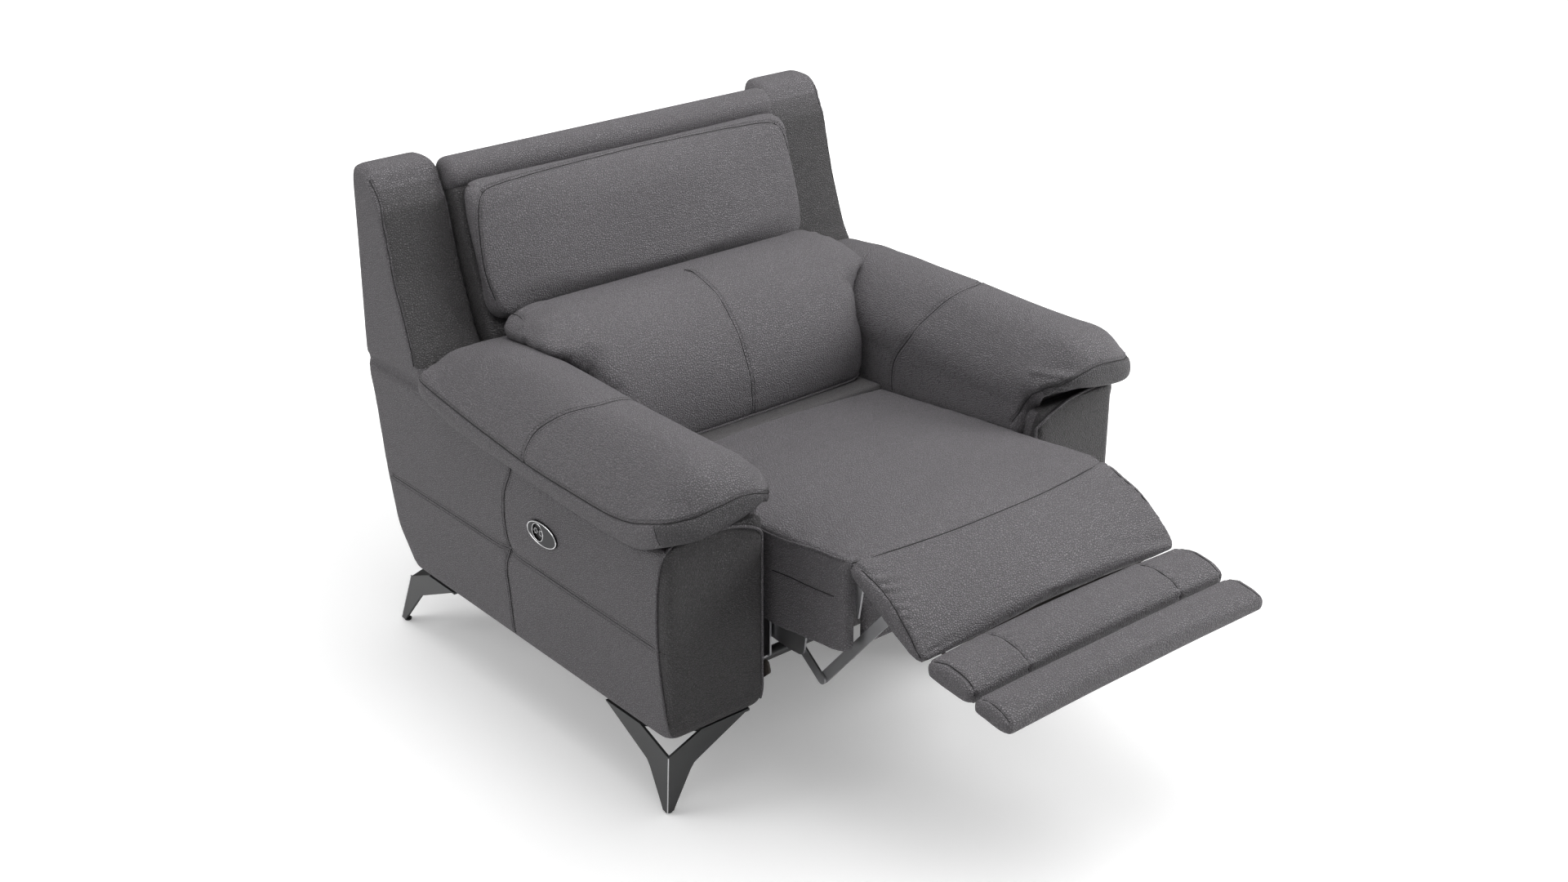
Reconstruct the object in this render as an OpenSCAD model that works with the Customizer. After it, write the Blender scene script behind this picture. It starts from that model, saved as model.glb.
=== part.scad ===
// Power recliner armchair, seen with its footrest out and its back upright.
// X runs across the chair, +Y points to its rear and +Z up. The origin is on the floor,
// under the middle of the chair. Profiles are lists of [y, z, corner radius], with y
// measured back from the front faces of the arms. Millimetres.

/* [Overall size] */
// Width across the outer faces of the two arms
overall_w = 1100; // [1040:5:1180]
// Depth from the arms' front faces to the wings' rear faces
body_depth = 980; // [960:5:1010]
// Height of the arms' undersides above the floor
leg_h = 165; // [150:1:180]
// Height of the wings' tops above the floor
wing_top_z = 980; // [960:5:1010]

/* [Arms] */
// Width of an arm's body
arm_w = 215; // [190:1:240]
// Height of the arm's top where the pad lies, at its lowest point
arm_top_z = 530; // [524:1:540]
// Width of the wing that rises behind the arm
wing_w = 150; // [130:1:160]
// Rounding of the arm's and the wing's long edges
arm_edge = 20; // [12:1:26]
// Thickness of the arm pad at its crest
pad_t = 152; // [130:1:158]
// How far the pad hangs over the arm's outer face
pad_overhang = 25; // [10:1:40]
// How far the pad reaches ahead of the arm's front face
pad_nose = 55; // [30:1:70]

/* [Seat] */
// Width of the seat, skirt and footrest
seat_w = 624; // [580:2:630]
// How far the seat's front face stands ahead of the arms
seat_front = 178; // [150:1:190]
// Height of the cushion's underside at the front
deck_z = 455; // [440:1:465]
// Slope of the seat towards the back, in degrees
deck_slope = 5.5; // [3:0.5:7]
// Length of the seat cushion, front to rear
cushion_len = 624; // [600:1:630]
// Thickness of the seat cushion at its sides
cushion_t = 68; // [55:1:80]
// Thickness of the skirt boards with their covering
skirt_t = 16; // [12:1:20]

/* [Footrest] */
// Slope of the main panel below the horizontal, in degrees
rest_slope = 32; // [25:1:38]
// Length of the main panel, from its hinge to the middle panel's hinge
main_len = 197; // [185:1:210]
// Length of the middle panel, hinge to hinge
mid_len = 109; // [100:1:115]
// Length of the end panel, from its hinge to its nose
end_len = 84; // [70:1:90]
// Thickness of the boards under the three pads
board_t = 6; // [5:1:8]

/* [Back] */
// Width of the lumbar cushion's top and of the head cushion
head_w = 780; // [740:2:784]
// Width of the rolled rail along the top of the back
roll_w = 740; // [700:5:760]
// Radius of the rolled rail
roll_r = 32; // [28:1:34]
// Thickness of the back's rear cover
cover_t = 12; // [8:1:16]
// Thickness of the back frame's timber
timber_t = 19.5; // [16:0.5:22]

/* [Mechanism] */
// Thickness of the steel plates and links
plate_t = 4; // [3:0.5:4.5]
// Width of a link
link_w = 20; // [16:1:22]
// Radius of the link pins
pin_r = 5; // [4:0.25:5.5]
// Radius of the back's hinge pins
back_pin_r = 7; // [6:0.5:8]
// How far the seat glides back when the chair closes
glide_travel = 50; // [40:1:50]
// How far the seat moves forward as the back reclines
tilt_travel = 60; // [50:1:60]
// Radius of the cross tubes between the base rails
tube_r = 12; // [10:0.5:13]

/* [Switch] */
// Length of the switch's oval bezel
bezel_len = 93; // [84:1:100]
// Height of the switch's oval bezel
bezel_h = 47; // [44:1:50]
// Radius of a push button
button_r = 6.2; // [5:0.1:6.6]

/* [Clearances] */
// Gap between two pieces that rest on each other
seat_gap = 0.3; // [0.2:0.05:0.5]
// Radial gap of a link's hole over its pin
pin_fit = 0.08; // [0.05:0.01:0.1]
// Radial gap of a button in its guide
button_gap = 0.15; // [0.1:0.01:0.2]
// Gap between two steel plates that pass each other
plate_gap = 0.5; // [0.4:0.05:0.8]

/* [Hidden] */

leather = [0.41, 0.40, 0.41];
leather_dark = [0.32, 0.31, 0.32];
steel = [0.45, 0.45, 0.46];
gunmetal = [0.33, 0.33, 0.33];
chrome = [0.85, 0.85, 0.86];
black = [0.06, 0.06, 0.06];
timber = [0.72, 0.58, 0.42];
far = 3000;

// The frame's middle lies halfway between the footrest's nose and the wings' rear.
footrest_reach = 565;
front_y = (footrest_reach - body_depth) / 2;

arm_out = overall_w / 2;
arm_in = arm_out - arm_w;
wing_in = arm_out - wing_w;
seat_half = seat_w / 2;

// Height of the arm's top along its length, as a rise over its lowest point.
pad_end = body_depth - 240;
pad_line = [[0, 20], [60, 4], [140, 0], [260, 4], [400, 12], [520, 20], [620, 26], [pad_end, 54]];
arm_end_z = arm_top_z + 54;

// Heights of the seat deck, which falls towards the rear.
function deck_at(y) = deck_z - (y + seat_front) * tan(deck_slope);
seat_rear = cushion_len - seat_front;

// Hinge line of the footrest, under the seat's front edge, and of its two outer panels.
rest_hinge = [-seat_front - 12, deck_z + 25];
along = [-cos(rest_slope), -sin(rest_slope)];
above = [-sin(rest_slope), cos(rest_slope)];
mid_hinge = rest_hinge + main_len * along + 29 * above;
end_hinge = mid_hinge + [-mid_len, -38];

// The lift linkage is a parallelogram: hinge, seat pivot, elbow and footrest lug.
lug = rest_hinge + 75 * along - 6 * above;
elbow = [-85, 239];
seat_pivot = elbow - (lug - rest_hinge);

// Steel layers, counted inwards from the arm along X.
carriage_x = arm_in - 44;
bracket_x = carriage_x - plate_gap - plate_t;
plate_x = carriage_x - 8;
link_x = plate_x - plate_gap - plate_t;
lift_x = link_x - plate_gap - plate_t;
rail_t = 4;
rail_flange_z = 205;
carriage_foot_z = 231;
slot_pins = [[130, 285], [400, 285]];
slot_dir = [-cos(14), sin(14)];
guide_r = 6;
rail_end = body_depth - 115;
rear_rail_y = 430;
wire_r = 1.8;
spindle_r = 4;
open_pivot_gap = 0.35;
strap_x = 240;
strap_w = 7;
strap_pin_r = 2.2;
rail_h = 46;
rail_w = 20;

// Legs. A leg is two blades that meet in a crease and part in a notch under the arm. Each
// lists its crease's top and lean along Y, then how far from that top its tip, foot, bend,
// notch and far end lie along the side blade.
glide_h = 4;
leg_top = leg_h - seat_gap;
crease_z = leg_h - 33;
bend_z = leg_h - 69;
leg_inset = 9;
leg_t = 5;
screw_r = 3;
leg_front = [19, 0.14, [18, 32, 64, 79, 183]];
leg_rear = [96, -0.53, [-69, -55, 25, 76, 167]];
side_lean = 0.0625;
cross_blade = [8, 22, 57, 70, 178];

panel_y = body_depth - 108;
panel_t = 16;
inlet_x = -180;
inlet_z = 240;
inlet_r = 8;
socket_r = 3.2;

// Back pivot and the back's straight rear line.
back_hinge = [720, 400];
back_foot = [850, 450];
back_head = [918.7, 908];
head_hinge = [800, 692];
board_foot = [642, 446];
board_top = [704, 650];
board_x = bracket_x + plate_t;
webbing_gap = 2.6;
roll_c = [893, 943];
wide_z = 697;

tube_front = [110, 187.5];
tube_rear = [800, 187.5];
drive_at = [290, 250];
drive_r = 9;
switch_at = [367, 434];
switch_cup = [380, 434];
cup_r = 17.5;
cup_depth = 12;
button_gap_y = 8;

$fn = 48;

// ---------- helpers ----------
function unit(v) = v / norm(v);
function ones(n) = [for (i = [1:n]) 1];
function turn(v, a) = [v.x * cos(a) - v.y * sin(a), v.x * sin(a) + v.y * cos(a)];

// Points of one rounded corner at b, between its neighbours a and c.
function corner(a, b, c, r, n) =
    let (u = unit([a.x - b.x, a.y - b.y]), v = unit([c.x - b.x, c.y - b.y]),
         half = acos(max(-0.9999, min(0.9999, u * v))) / 2,
         reach = min(r / tan(half), 0.48 * norm([a.x - b.x, a.y - b.y]),
                     0.48 * norm([c.x - b.x, c.y - b.y])),
         rr = reach * tan(half),
         mid = [b.x, b.y] + unit(u + v) * rr / sin(half),
         p = [b.x, b.y] + u * reach - mid, q = [b.x, b.y] + v * reach - mid)
    [for (i = [0:n]) mid + unit(p * (1 - i / n) + q * i / n) * rr];

// Outline of [x, y, radius] corners with every corner rounded in n steps.
function rounded(pts, n = 3) =
    let (m = len(pts))
    [for (i = [0:m - 1])
        each corner(pts[(i + m - 1) % m], pts[i], pts[(i + 1) % m],
                    len(pts[i]) > 2 ? pts[i][2] : 1, n)];

function low(p) = [min([for (q = p) q.x]), min([for (q = p) q.y])];
function high(p) = [max([for (q = p) q.x]), max([for (q = p) q.y])];

// Outline drawn in by d on every side, about its middle.
function drawn_in(p, d) =
    let (a = low(p), b = high(p), c = (a + b) / 2, s = [1 - 2 * d / (b.x - a.x), 1 - 2 * d / (b.y - a.y)])
    [for (q = p) [c.x + (q.x - c.x) * s.x, c.y + (q.y - c.y) * s.y]];

function area_vector(p) =
    let (m = len(p)) ones(m) * [for (i = [0:m - 1]) cross(p[i], p[(i + 1) % m])];

// Solid through a row of sections with equal numbers of points.
module loft(sections) {
    n = len(sections[0]);
    m = len(sections);
    outward = area_vector(sections[0]) * (sections[m - 1][0] - sections[0][0]) > 0;
    sides = [for (k = [0:m - 2], i = [0:n - 1])
        let (j = (i + 1) % n, a = k * n + i, b = k * n + j, c = b + n, d = a + n)
        each [[a, d, c], [a, c, b]]];
    caps = [[for (i = [0:n - 1]) i], [for (i = [n - 1:-1:0]) (m - 1) * n + i]];
    faces = concat(sides, caps);
    polyhedron([for (s = sections) each s],
               outward ? faces : [for (f = faces) [for (i = [len(f) - 1:-1:0]) f[i]]]);
}

// Outward normal of outline p at its point i, for a counter-clockwise outline.
function normal_at(p, i) =
    let (m = len(p), t = p[(i + 1) % m] - p[(i + m - 1) % m]) unit([t.y, -t.x]);

// Soft body: a [y, z] outline carried along X with rounded ends, whose side that looks
// along face swells by crown in the middle.
module cushion(outline, x0, x1, edge, crown = 0, face = [0, 1], steps = 3, waist = 4) {
    half = (x1 - x0) / 2;
    rim = [for (i = [0:steps]) let (a = 90 * i / steps) [edge * (1 - cos(a)), edge * (1 - sin(a))]];
    belly = crown == 0 ? [] : [for (i = [1:waist]) [edge + (2 * half - 2 * edge) * i / (waist + 1), 0]];
    stations = concat(rim, belly, [for (i = [steps:-1:0]) [2 * half - rim[i].x, rim[i].y]]);
    loft([for (s = stations)
        let (u = s.x / half - 1, push = crown * (1 - u * u), p = drawn_in(outline, s.y))
        [for (i = [0:len(p) - 1])
            let (n = normal_at(p, i), q = p[i] + n * push * max(0, n * face))
            [x0 + s.x, q.x, q.y]]]);
}

// Moves a piece from the arms' front plane into the part's frame.
module placed() translate([0, front_y, 0]) children();

// Draws a piece on the sitter's left (side = 1) or right (side = -1).
module on_side(side) mirror([side < 0 ? 1 : 0, 0, 0]) children();

// Flat plate in the YZ plane, t thick, from x towards +X.
module plate(x, t, outline) translate([x, 0, 0]) rotate([90, 0, 90]) linear_extrude(t) polygon(outline);

// Round bar along X.
module bar(x0, x1, at, r) translate([x0, at.x, at.y]) rotate([0, 90, 0]) cylinder(h = x1 - x0, r = r);

// Outline with round ends around two points, w wide.
function oblong(a, b, w) =
    let (u = unit(b - a) * w / 2)
    concat([for (t = [-90:18:90]) b + turn(u, t)], [for (t = [90:18:270]) a + turn(u, t)]);

// Link with round ends between two points of the YZ plane.
module link(x, a, b, w = link_w) plate(x, plate_t, oblong(a, b, w));

// ---------- base ----------
// Side view of an arm, which leans back behind and dips under its pad.
function arm_outline() = rounded(concat(
    [[0, leg_h, 26], [body_depth - 128, leg_h, 22], [body_depth - 70, leg_h + 75, 50],
     [body_depth - 40, leg_h + 200, 80], [body_depth - 17, leg_h + 350, 80],
     [body_depth, arm_end_z, 2], [pad_end, arm_end_z, 1]],
    [for (i = [len(pad_line) - 2:-1:0]) [pad_line[i].x, arm_top_z + pad_line[i].y, 1]]), 2);

module arm(side) color(leather) on_side(side) difference() {
    cushion(arm_outline(), arm_in, arm_out, arm_edge);
    if (side < 0) bar(arm_out - cup_depth - seat_gap, arm_out + 5, switch_cup, cup_r + seat_gap);
}

// Side view of a wing, which rises from the rear of the arm and leans back.
function wing_outline() = let (z0 = arm_end_z + seat_gap) rounded([
    [pad_end + 4, z0, 3], [body_depth, z0, 3], [body_depth - 6, wing_top_z, 16],
    [body_depth - 74, wing_top_z, 34], [body_depth - 113, wing_top_z - 78, 80],
    [body_depth - 143, wing_top_z - 200, 80], [body_depth - 186, wing_top_z - 314, 60]]);

module wing(side) color(leather) on_side(side) cushion(wing_outline(), wing_in, arm_out, arm_edge);

// Cross-section of the pad at y: a flat band outside, a domed top, and an inner lip that
// hangs down the arm's inner face to the seat.
function pad_section(y) =
    let (z0 = arm_top_z + lookup(y, pad_line) + seat_gap,
         crest = arm_top_z + pad_t - max(0, y - 600) * 0.17,
         lip = deck_at(min(y, seat_rear)) + cushion_t - 24, x1 = arm_out + pad_overhang)
    rounded([[x1, z0, 10], [x1, z0 + 46, 16], [arm_out - 50, crest, 80], [arm_in + 66, crest, 70],
             [seat_half + 14, z0 + 70, 30], [seat_half + 8, lip, 5], [arm_in - seat_gap, lip, 4],
             [arm_in - seat_gap, z0, 1]], 3);

module arm_pad(side) color(leather) on_side(side) {
    nose = [for (a = [12, 30, 50, 70]) [-pad_nose * cos(a), pad_nose * (1 - sin(a))]];
    body = [for (p = pad_line) [p.x, 0]];
    loft([for (s = concat(nose, body))
        [for (q = drawn_in(pad_section(max(0, s.x)), s.y)) [q.x, s.x, q.y]]]);
}

// Draws a round piece or hole along Y through the rear panel.
module through_panel(from, length, r)
    translate([inlet_x, panel_y + from, inlet_z]) rotate([-90, 0, 0]) cylinder(h = length, r = r);

module rear_panel() color(leather_dark) difference() {
    translate([-arm_in, panel_y, leg_h + 12]) cube([2 * arm_in, panel_t, 168]);
    through_panel(-1, panel_t + 2, inlet_r + seat_gap);
}

// Socket for the power supply's plug, in the rear panel.
module power_inlet() color(black) difference() {
    union() {
        through_panel(0, panel_t + 1, inlet_r);
        through_panel(panel_t, 3, inlet_r + 5);
    }
    through_panel(5, panel_t, socket_r);
}

// Angle-section rail bolted to the arm's inner face, with a hooked front end.
module base_rail(side) color(steel) on_side(side) {
    plate(arm_in - rail_t, rail_t, rounded([[42, 172, 4], [64, 180, 6], [rail_end, 180, 4],
        [rail_end, 240, 4], [30, 240, 10], [0, 262, 8], [-8, 236, 8], [24, 206, 14]]));
    translate([arm_in - 36, 60, rail_flange_z - rail_t]) cube([36, rail_end - 60, rail_t]);
}

module cross_tubes() color(steel) for (at = [tube_front, tube_rear])
    bar(-arm_in + rail_t, arm_in - rail_t, at, tube_r);

// Upper and lower edge points [u, z] along a blade, from its tip to its far end.
function blade_edges(b) =
    let (up = function(z) b[0] * (crease_z - z) / (crease_z - glide_h))
    [[[up(glide_h), glide_h], [b[1], glide_h]],
     [[up(glide_h + 12), glide_h + 12], [b[1] + (b[2] - b[1]) * 0.12, glide_h + 12]],
     [[up(crease_z - 16), crease_z - 16], [b[2] - (b[2] - b[1]) * 0.12, bend_z - 12]],
     [[0, crease_z], [b[2] + 3, bend_z]],
     [[b[3] * 0.12, crease_z + 3], [b[2] + 12, bend_z + 6]],
     [[b[3], leg_top], [b[4], leg_top]]];

// Folded steel leg for the left corner whose outer planes are x = 0 and y = 0, with its
// screw flange.
module folded_leg(l) {
    side = blade_edges(l[2]);
    across = blade_edges(cross_blade);
    loft([for (e = side) let (p = [for (q = e) [side_lean * (q.y - crease_z), l[0] + q.x, q.y]])
        [p[0], p[1], p[1] - [leg_t, 0, 0], p[0] - [leg_t, 0, 0]]]);
    loft([for (e = across) let (p = [for (q = e) [-q.x, l[0] + l[1] * (crease_z - q.y), q.y]])
        [p[0], p[1], p[1] + [0, leg_t, 0], p[0] + [0, leg_t, 0]]]);
    y0 = l[0] + l[1] * (crease_z - leg_top);
    difference() {
        translate([0, 0, leg_top - leg_t]) linear_extrude(leg_t)
            polygon([[0, l[0] + l[2][3]], [0, l[0] + l[2][4]], [-34, l[0] + l[2][4]], [-cross_blade[4], y0 + 34],
                [-cross_blade[4], y0], [-cross_blade[3], y0]]);
        for (p = screw_spots(l)) translate([p.x, p.y, 0]) cylinder(h = leg_h, r = screw_r + 0.1);
    }
}
function screw_spots(l) = let (y0 = l[0] + l[1] * (crease_z - leg_top))
    [[-20, l[0] + l[2][4] - 20], [-cross_blade[4] + 22, y0 + 20], [-58, (y0 + l[0] + l[2][3]) / 2 + 20]];

// Places a left leg's piece at the corner named by side and rear.
module at_corner(side, rear) on_side(side) translate([arm_out - leg_inset, rear ? body_depth - 3 : 0, 0])
    mirror([0, rear ? 1 : 0, 0]) children();

module leg(side, rear) color(gunmetal) at_corner(side, rear) folded_leg(rear ? leg_rear : leg_front);

// Round-headed screws that hold the legs' flanges to the arms.
module leg_screws() color(chrome) for (side = [-1, 1], rear = [false, true])
    at_corner(side, rear) for (p = screw_spots(rear ? leg_rear : leg_front))
        translate([p.x, p.y, leg_top - leg_t - 2.5]) {
            cylinder(h = 2.5, r = 2 * screw_r);
            cylinder(h = leg_t + 2.5, r = screw_r);
        }

module leg_glides() color(black) for (side = [-1, 1], rear = [false, true])
    at_corner(side, rear) let (l = rear ? leg_rear : leg_front)
        translate([-cross_blade[0] - 9, l[0] + l[2][0] + 9, 0]) cylinder(h = glide_h, r1 = 7, r2 = 8);

// ---------- drive ----------
// Gear housing and motor of the linear actuator, hung on the rear cross tube.
module actuator_motor() color(black) difference() {
    union() {
        translate([-34, 655, 184]) cube([106, 76, 58]);
        translate([45, 545, 213]) rotate([-90, 0, 0]) cylinder(h = 111, r = 25);
        for (x = [-24, 12]) {
            bar(x, x + 10, tube_rear, tube_r + 8);
            translate([x, 730, tube_rear.y - 12]) cube([10, 60, 24]);
        }
    }
    bar(-40, 40, tube_rear, tube_r + 0.1);
}

// Channel in which the drive block runs.
module actuator_rail() color(steel) difference() {
    translate([-17, 200, 198]) cube([34, 454.7, 28]);
    translate([-13, 199, 202]) cube([26, 457, 16]);
    translate([-7, 199, 210]) cube([14, 457, 20]);
}

module actuator_spindle() color(chrome)
    translate([0, 202, 210]) rotate([-90, 0, 0]) cylinder(h = 452.7, r = spindle_r);

module drive_block() color(black) difference() {
    union() {
        translate([-24, 262, 226.4]) cube([48, 56, 38]);
        translate([-6.6, 262, 206]) cube([13.2, 56, 22]);
        translate([-12.6, 262, 202.4]) cube([25.2, 56, 15.2]);
    }
    translate([0, 261, 210]) rotate([-90, 0, 0]) cylinder(h = 60, r = spindle_r + 0.1);
    bar(-30, 30, drive_at, drive_r + 0.1);
}

module drive_tube() color(steel) bar(-carriage_x - plate_t, carriage_x + plate_t, drive_at, drive_r);

// Slot through the carriage, along slot_dir from a guide pin's place at rest.
module slot(at, r) plate(carriage_x - 1, plate_t + 2, oblong(at, at + slot_dir * tilt_travel, 2 * r));

// Side plate of the carriage: it slides on the base rail, guides the seat and carries
// the back's hinge pin.
module carriage(side) color(steel) on_side(side) {
    difference() {
        plate(carriage_x, plate_t, rounded([[40, carriage_foot_z, 6], [560, carriage_foot_z, 30],
            [700, 330, 40], [745, 385, 20], [742, 421, 18], [698, 421, 18], [640, 352, 40], [420, 330, 60],
            [40, 322, 20]]));
        for (at = slot_pins) slot(at, guide_r + seat_gap);
        bar(carriage_x - 1, carriage_x + plate_t + 1, drive_at, drive_r + 0.1);
    }
    translate([carriage_x, 44, carriage_foot_z]) cube([34, 490, plate_t]);
    bar(bracket_x - 0.5, carriage_x + 1, back_hinge, back_pin_r);
    bar(bracket_x - plate_t, bracket_x - 0.5, back_hinge, back_pin_r + 4);
}

module glide_shoes() color(black) for (side = [-1, 1], y = [60, 464]) on_side(side)
    translate([carriage_x + 7, y, rail_flange_z + seat_gap])
        cube([24, 66, carriage_foot_z - rail_flange_z - 2 * seat_gap]);

// ---------- seat ----------
module seat_cushion() color(leather) cushion(rounded([
    [-seat_front + 1, deck_at(-seat_front) + seat_gap, 5], [seat_rear, deck_at(seat_rear) + seat_gap, 14],
    [seat_rear - 6, deck_at(seat_rear) + cushion_t, 30], [120, deck_at(120) + cushion_t + 4, 80],
    [-seat_front + 20, deck_at(-seat_front) + cushion_t, 40],
    [-seat_front - 17, deck_at(-seat_front) + cushion_t - 3, 8], [-seat_front + 1, deck_z + 41, 6]]),
    -seat_half, seat_half, 14, 12);

// Sinuous springs under the cushion, from the skirt's front to the rear rail.
module seat_springs() color(steel) {
    y0 = -seat_front + skirt_t + seat_gap;
    y1 = rear_rail_y - seat_gap;
    rings = 54;
    for (x = [-200:100:200]) loft([for (k = [0:rings])
        let (y = y0 + (y1 - y0) * k / rings, sway = 20 * sin(k * 90), c = [x + sway, y, deck_at(y) - wire_r - seat_gap])
        [for (a = [30:60:330]) c + wire_r * [cos(a), 0, sin(a)]]]);
}

// Upholstered front board, notched for the lift links.
module skirt_front() color(leather_dark) difference() {
    plate(-seat_half, 2 * seat_half, rounded([[-seat_front, deck_z - 114, 6],
        [-seat_front + skirt_t, deck_z - 114, 2],
        [-seat_front + skirt_t, deck_at(-seat_front + skirt_t), 1], [-seat_front, deck_z, 2]]));
    for (side = [-1, 1]) on_side(side) translate([lift_x - 6, -seat_front - 1, deck_z - 130])
        cube([plate_x + plate_t - lift_x + 7, skirt_t + 2, 104]);
}

module skirt(side) color(leather) on_side(side) plate(seat_half - skirt_t, skirt_t,
    let (y0 = -seat_front + skirt_t + seat_gap, y1 = seat_rear) rounded([[y0, deck_at(y0) - 116, 5],
        [14, deck_at(14) - 122, 30], [y1, deck_at(y1) - 62, 5], [y1, deck_at(y1), 1], [y0, deck_at(y0), 1]]));

module seat_rear_rail() color(timber) translate([-seat_half + skirt_t + seat_gap, rear_rail_y, deck_at(rear_rail_y) - 52])
    cube([2 * (seat_half - skirt_t - seat_gap), seat_rear - rear_rail_y, 50]);

// Steel side plate under the seat: it carries the front links and slides in the carriage.
module seat_plate(side) color(steel) on_side(side) {
    top = deck_at(rear_rail_y) - 16;
    plate(plate_x, plate_t, rounded([[seat_pivot.x - 18, seat_pivot.y - 16, 14],
        [seat_pivot.x + 20, seat_pivot.y - 18, 14], [70, slot_pins[0].y - 14, 20],
        [rear_rail_y - 8, slot_pins[1].y - 14, 20], [rear_rail_y - 8, top, 10], [-120, top, 10],
        [-120, top - 34, 12], [seat_pivot.x - 26, seat_pivot.y + 40, 30]]));
    translate([plate_x, -110, top - plate_t])
        cube([seat_half - skirt_t - seat_gap - plate_x, rear_rail_y + 100, plate_t]);
    for (at = slot_pins) {
        bar(plate_x, carriage_x + plate_t + 4, at, guide_r);
        bar(carriage_x + plate_t + 0.5, carriage_x + plate_t + 4, at, guide_r + 3);
    }
    pivot_pin(seat_pivot, link_x, plate_x);
}

// Headed pin that sticks out inwards from x1 through the layer that starts at x0.
module pivot_pin(at, x0, x1) {
    bar(x0 - 0.5, x1 + 1, at, pin_r);
    bar(x0 - 3, x0 - 0.5, at, pin_r + 3);
}

// Lugs on the seat's front edge that carry the footrest's hinge pins.
module footrest_lugs() color(steel) for (side = [-1, 1]) on_side(side) {
    face = -seat_front - seat_gap;
    plate(plate_x, plate_t, [[face, rest_hinge.y - 75], [face, rest_hinge.y + 8],
        [rest_hinge.x - 6, rest_hinge.y], [rest_hinge.x + 6, rest_hinge.y - 75]]);
    bar(plate_x, plate_x + plate_t, rest_hinge, 11.5);
    pivot_pin(rest_hinge, link_x, plate_x);
}

// ---------- footrest ----------
// Point of the main panel's own frame: u along it from the hinge, v above it.
function main_at(u, v) = rest_hinge + u * along + v * above;
function mid_at(u, v) = mid_hinge + [-u, v];
function end_at(u, v) = end_hinge + [-u, v];
function main_outline(pts) = [for (p = pts) let (q = main_at(p[0], p[1])) [q.x, q.y, p[2]]];
function mid_outline(pts) = [for (p = pts) let (q = mid_at(p[0], p[1])) [q.x, q.y, p[2]]];
function end_outline(pts) = [for (p = pts) let (q = end_at(p[0], p[1])) [q.x, q.y, p[2]]];

module footrest_pad() color(leather) cushion(rounded(main_outline([
    [-9, 15, 5], [-12, 39, 9], [24, 47, 30], [60, 57, 60], [main_len * 0.53, 57, 60], [main_len * 0.75, 51, 40],
    [main_len - 9, 36, 9], [main_len - 18, 19, 8], [main_len * 0.6, 14.5, 30]])),
    -seat_half - 1, seat_half + 1, 14, 9, above);

// Board under the main pad, with hinge straps for the middle panel.
module footrest_board() color(timber) {
    plate(-seat_half + 22, 2 * seat_half - 44, rounded(main_outline([[16, 13.7, 1], [16, 13.7 - board_t, 1],
        [main_len - 22, 13.7 - board_t, 1], [main_len - 22, 13.7, 1]])));
    for (side = [-1, 1]) on_side(side) 
        strap(strap_x, [main_at(main_len - 30, 12.7 - board_t / 2), main_at(main_len - 5, 8), mid_hinge], true);
}

// Outline of a band of width w along a path.
function band(path, w) =
    let (m = len(path) - 1,
         side = [for (i = [0:m]) let (d = unit(path[min(i + 1, m)] - path[max(i - 1, 0)])) [-d.y, d.x] * w / 2])
    concat([for (i = [0:m]) path[i] + side[i]], [for (i = [m:-1:0]) path[i] - side[i]]);

// Bent hinge strap along a path that ends at a hinge line, with its pin or its hole.
module strap(x, path, has_pin) {
    to = path[len(path) - 1];
    difference() {
        union() {
            plate(x, plate_t, band(path, strap_w));
            bar(x, x + plate_t, to, strap_w / 2 + 1);
        }
        if (!has_pin) bar(x - 1, x + plate_t + 1, to, strap_pin_r + pin_fit);
    }
    if (has_pin) bar(x + 1, x + 2 * plate_t + plate_gap, to, strap_pin_r);
}

// Bent arm under the board, from the hinge to the lug of the lift link.
module footrest_arm(side) color(steel) on_side(side) difference() {
    union() {
        plate(link_x, plate_t, rounded(main_outline([[0, 7.4, 3], [0, -9, 4], [52, -11, 10], [75, -17, 8],
            [98, -14, 10], [main_len - 45, -1, 6], [main_len - 45, 7.4, 2]])));
        plate(link_x - 22, 23, rounded(main_outline([[22, 4, 1], [main_len - 55, 4, 1],
            [main_len - 55, 7.4, 1], [22, 7.4, 1]])));
        bar(link_x, link_x + plate_t, rest_hinge, 11);
        bar(link_x, link_x + plate_t, lug, 11);
        pivot_pin(lug, lift_x, link_x);
    }
    bar(link_x - 1, link_x + plate_t + 1, rest_hinge, pin_r + pin_fit);
}

module mid_pad() color(leather) cushion(rounded(mid_outline([[8, -11, 5], [5.5, 13, 8], [40, 27, 30],
    [mid_len - 26, 20, 30], [mid_len - 3, 6, 8], [mid_len - 5, -15, 6], [mid_len - 22, -20, 20]])),
    -seat_half - 1, seat_half + 1, 14, 9);

module mid_board() color(timber) {
    plate(-seat_half + 22, 2 * seat_half - 44, rounded(mid_outline([[12, -12, 1], [12, -12 - board_t, 1],
        [mid_len - 18, -20.6 - board_t, 1], [mid_len - 18, -20.6, 1]])));
    for (side = [-1, 1]) on_side(side) {
        strap(strap_x + plate_t + plate_gap, [mid_at(15, -13 - board_t / 2), mid_at(1.5, -17), mid_hinge], false);
        strap(strap_x + 16, [mid_at(mid_len - 22, -21.2 - board_t / 2), end_hinge], true);
    }
}

module end_pad() color(leather) cushion(rounded(end_outline([[4, 17, 5], [4, 37, 7], [29, 45, 20], [60, 40, 16],
    [end_len, 31, 10], [end_len, 8, 8], [end_len - 22, 7, 8]])), -seat_half - 4, seat_half + 4, 12, 5);

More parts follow.
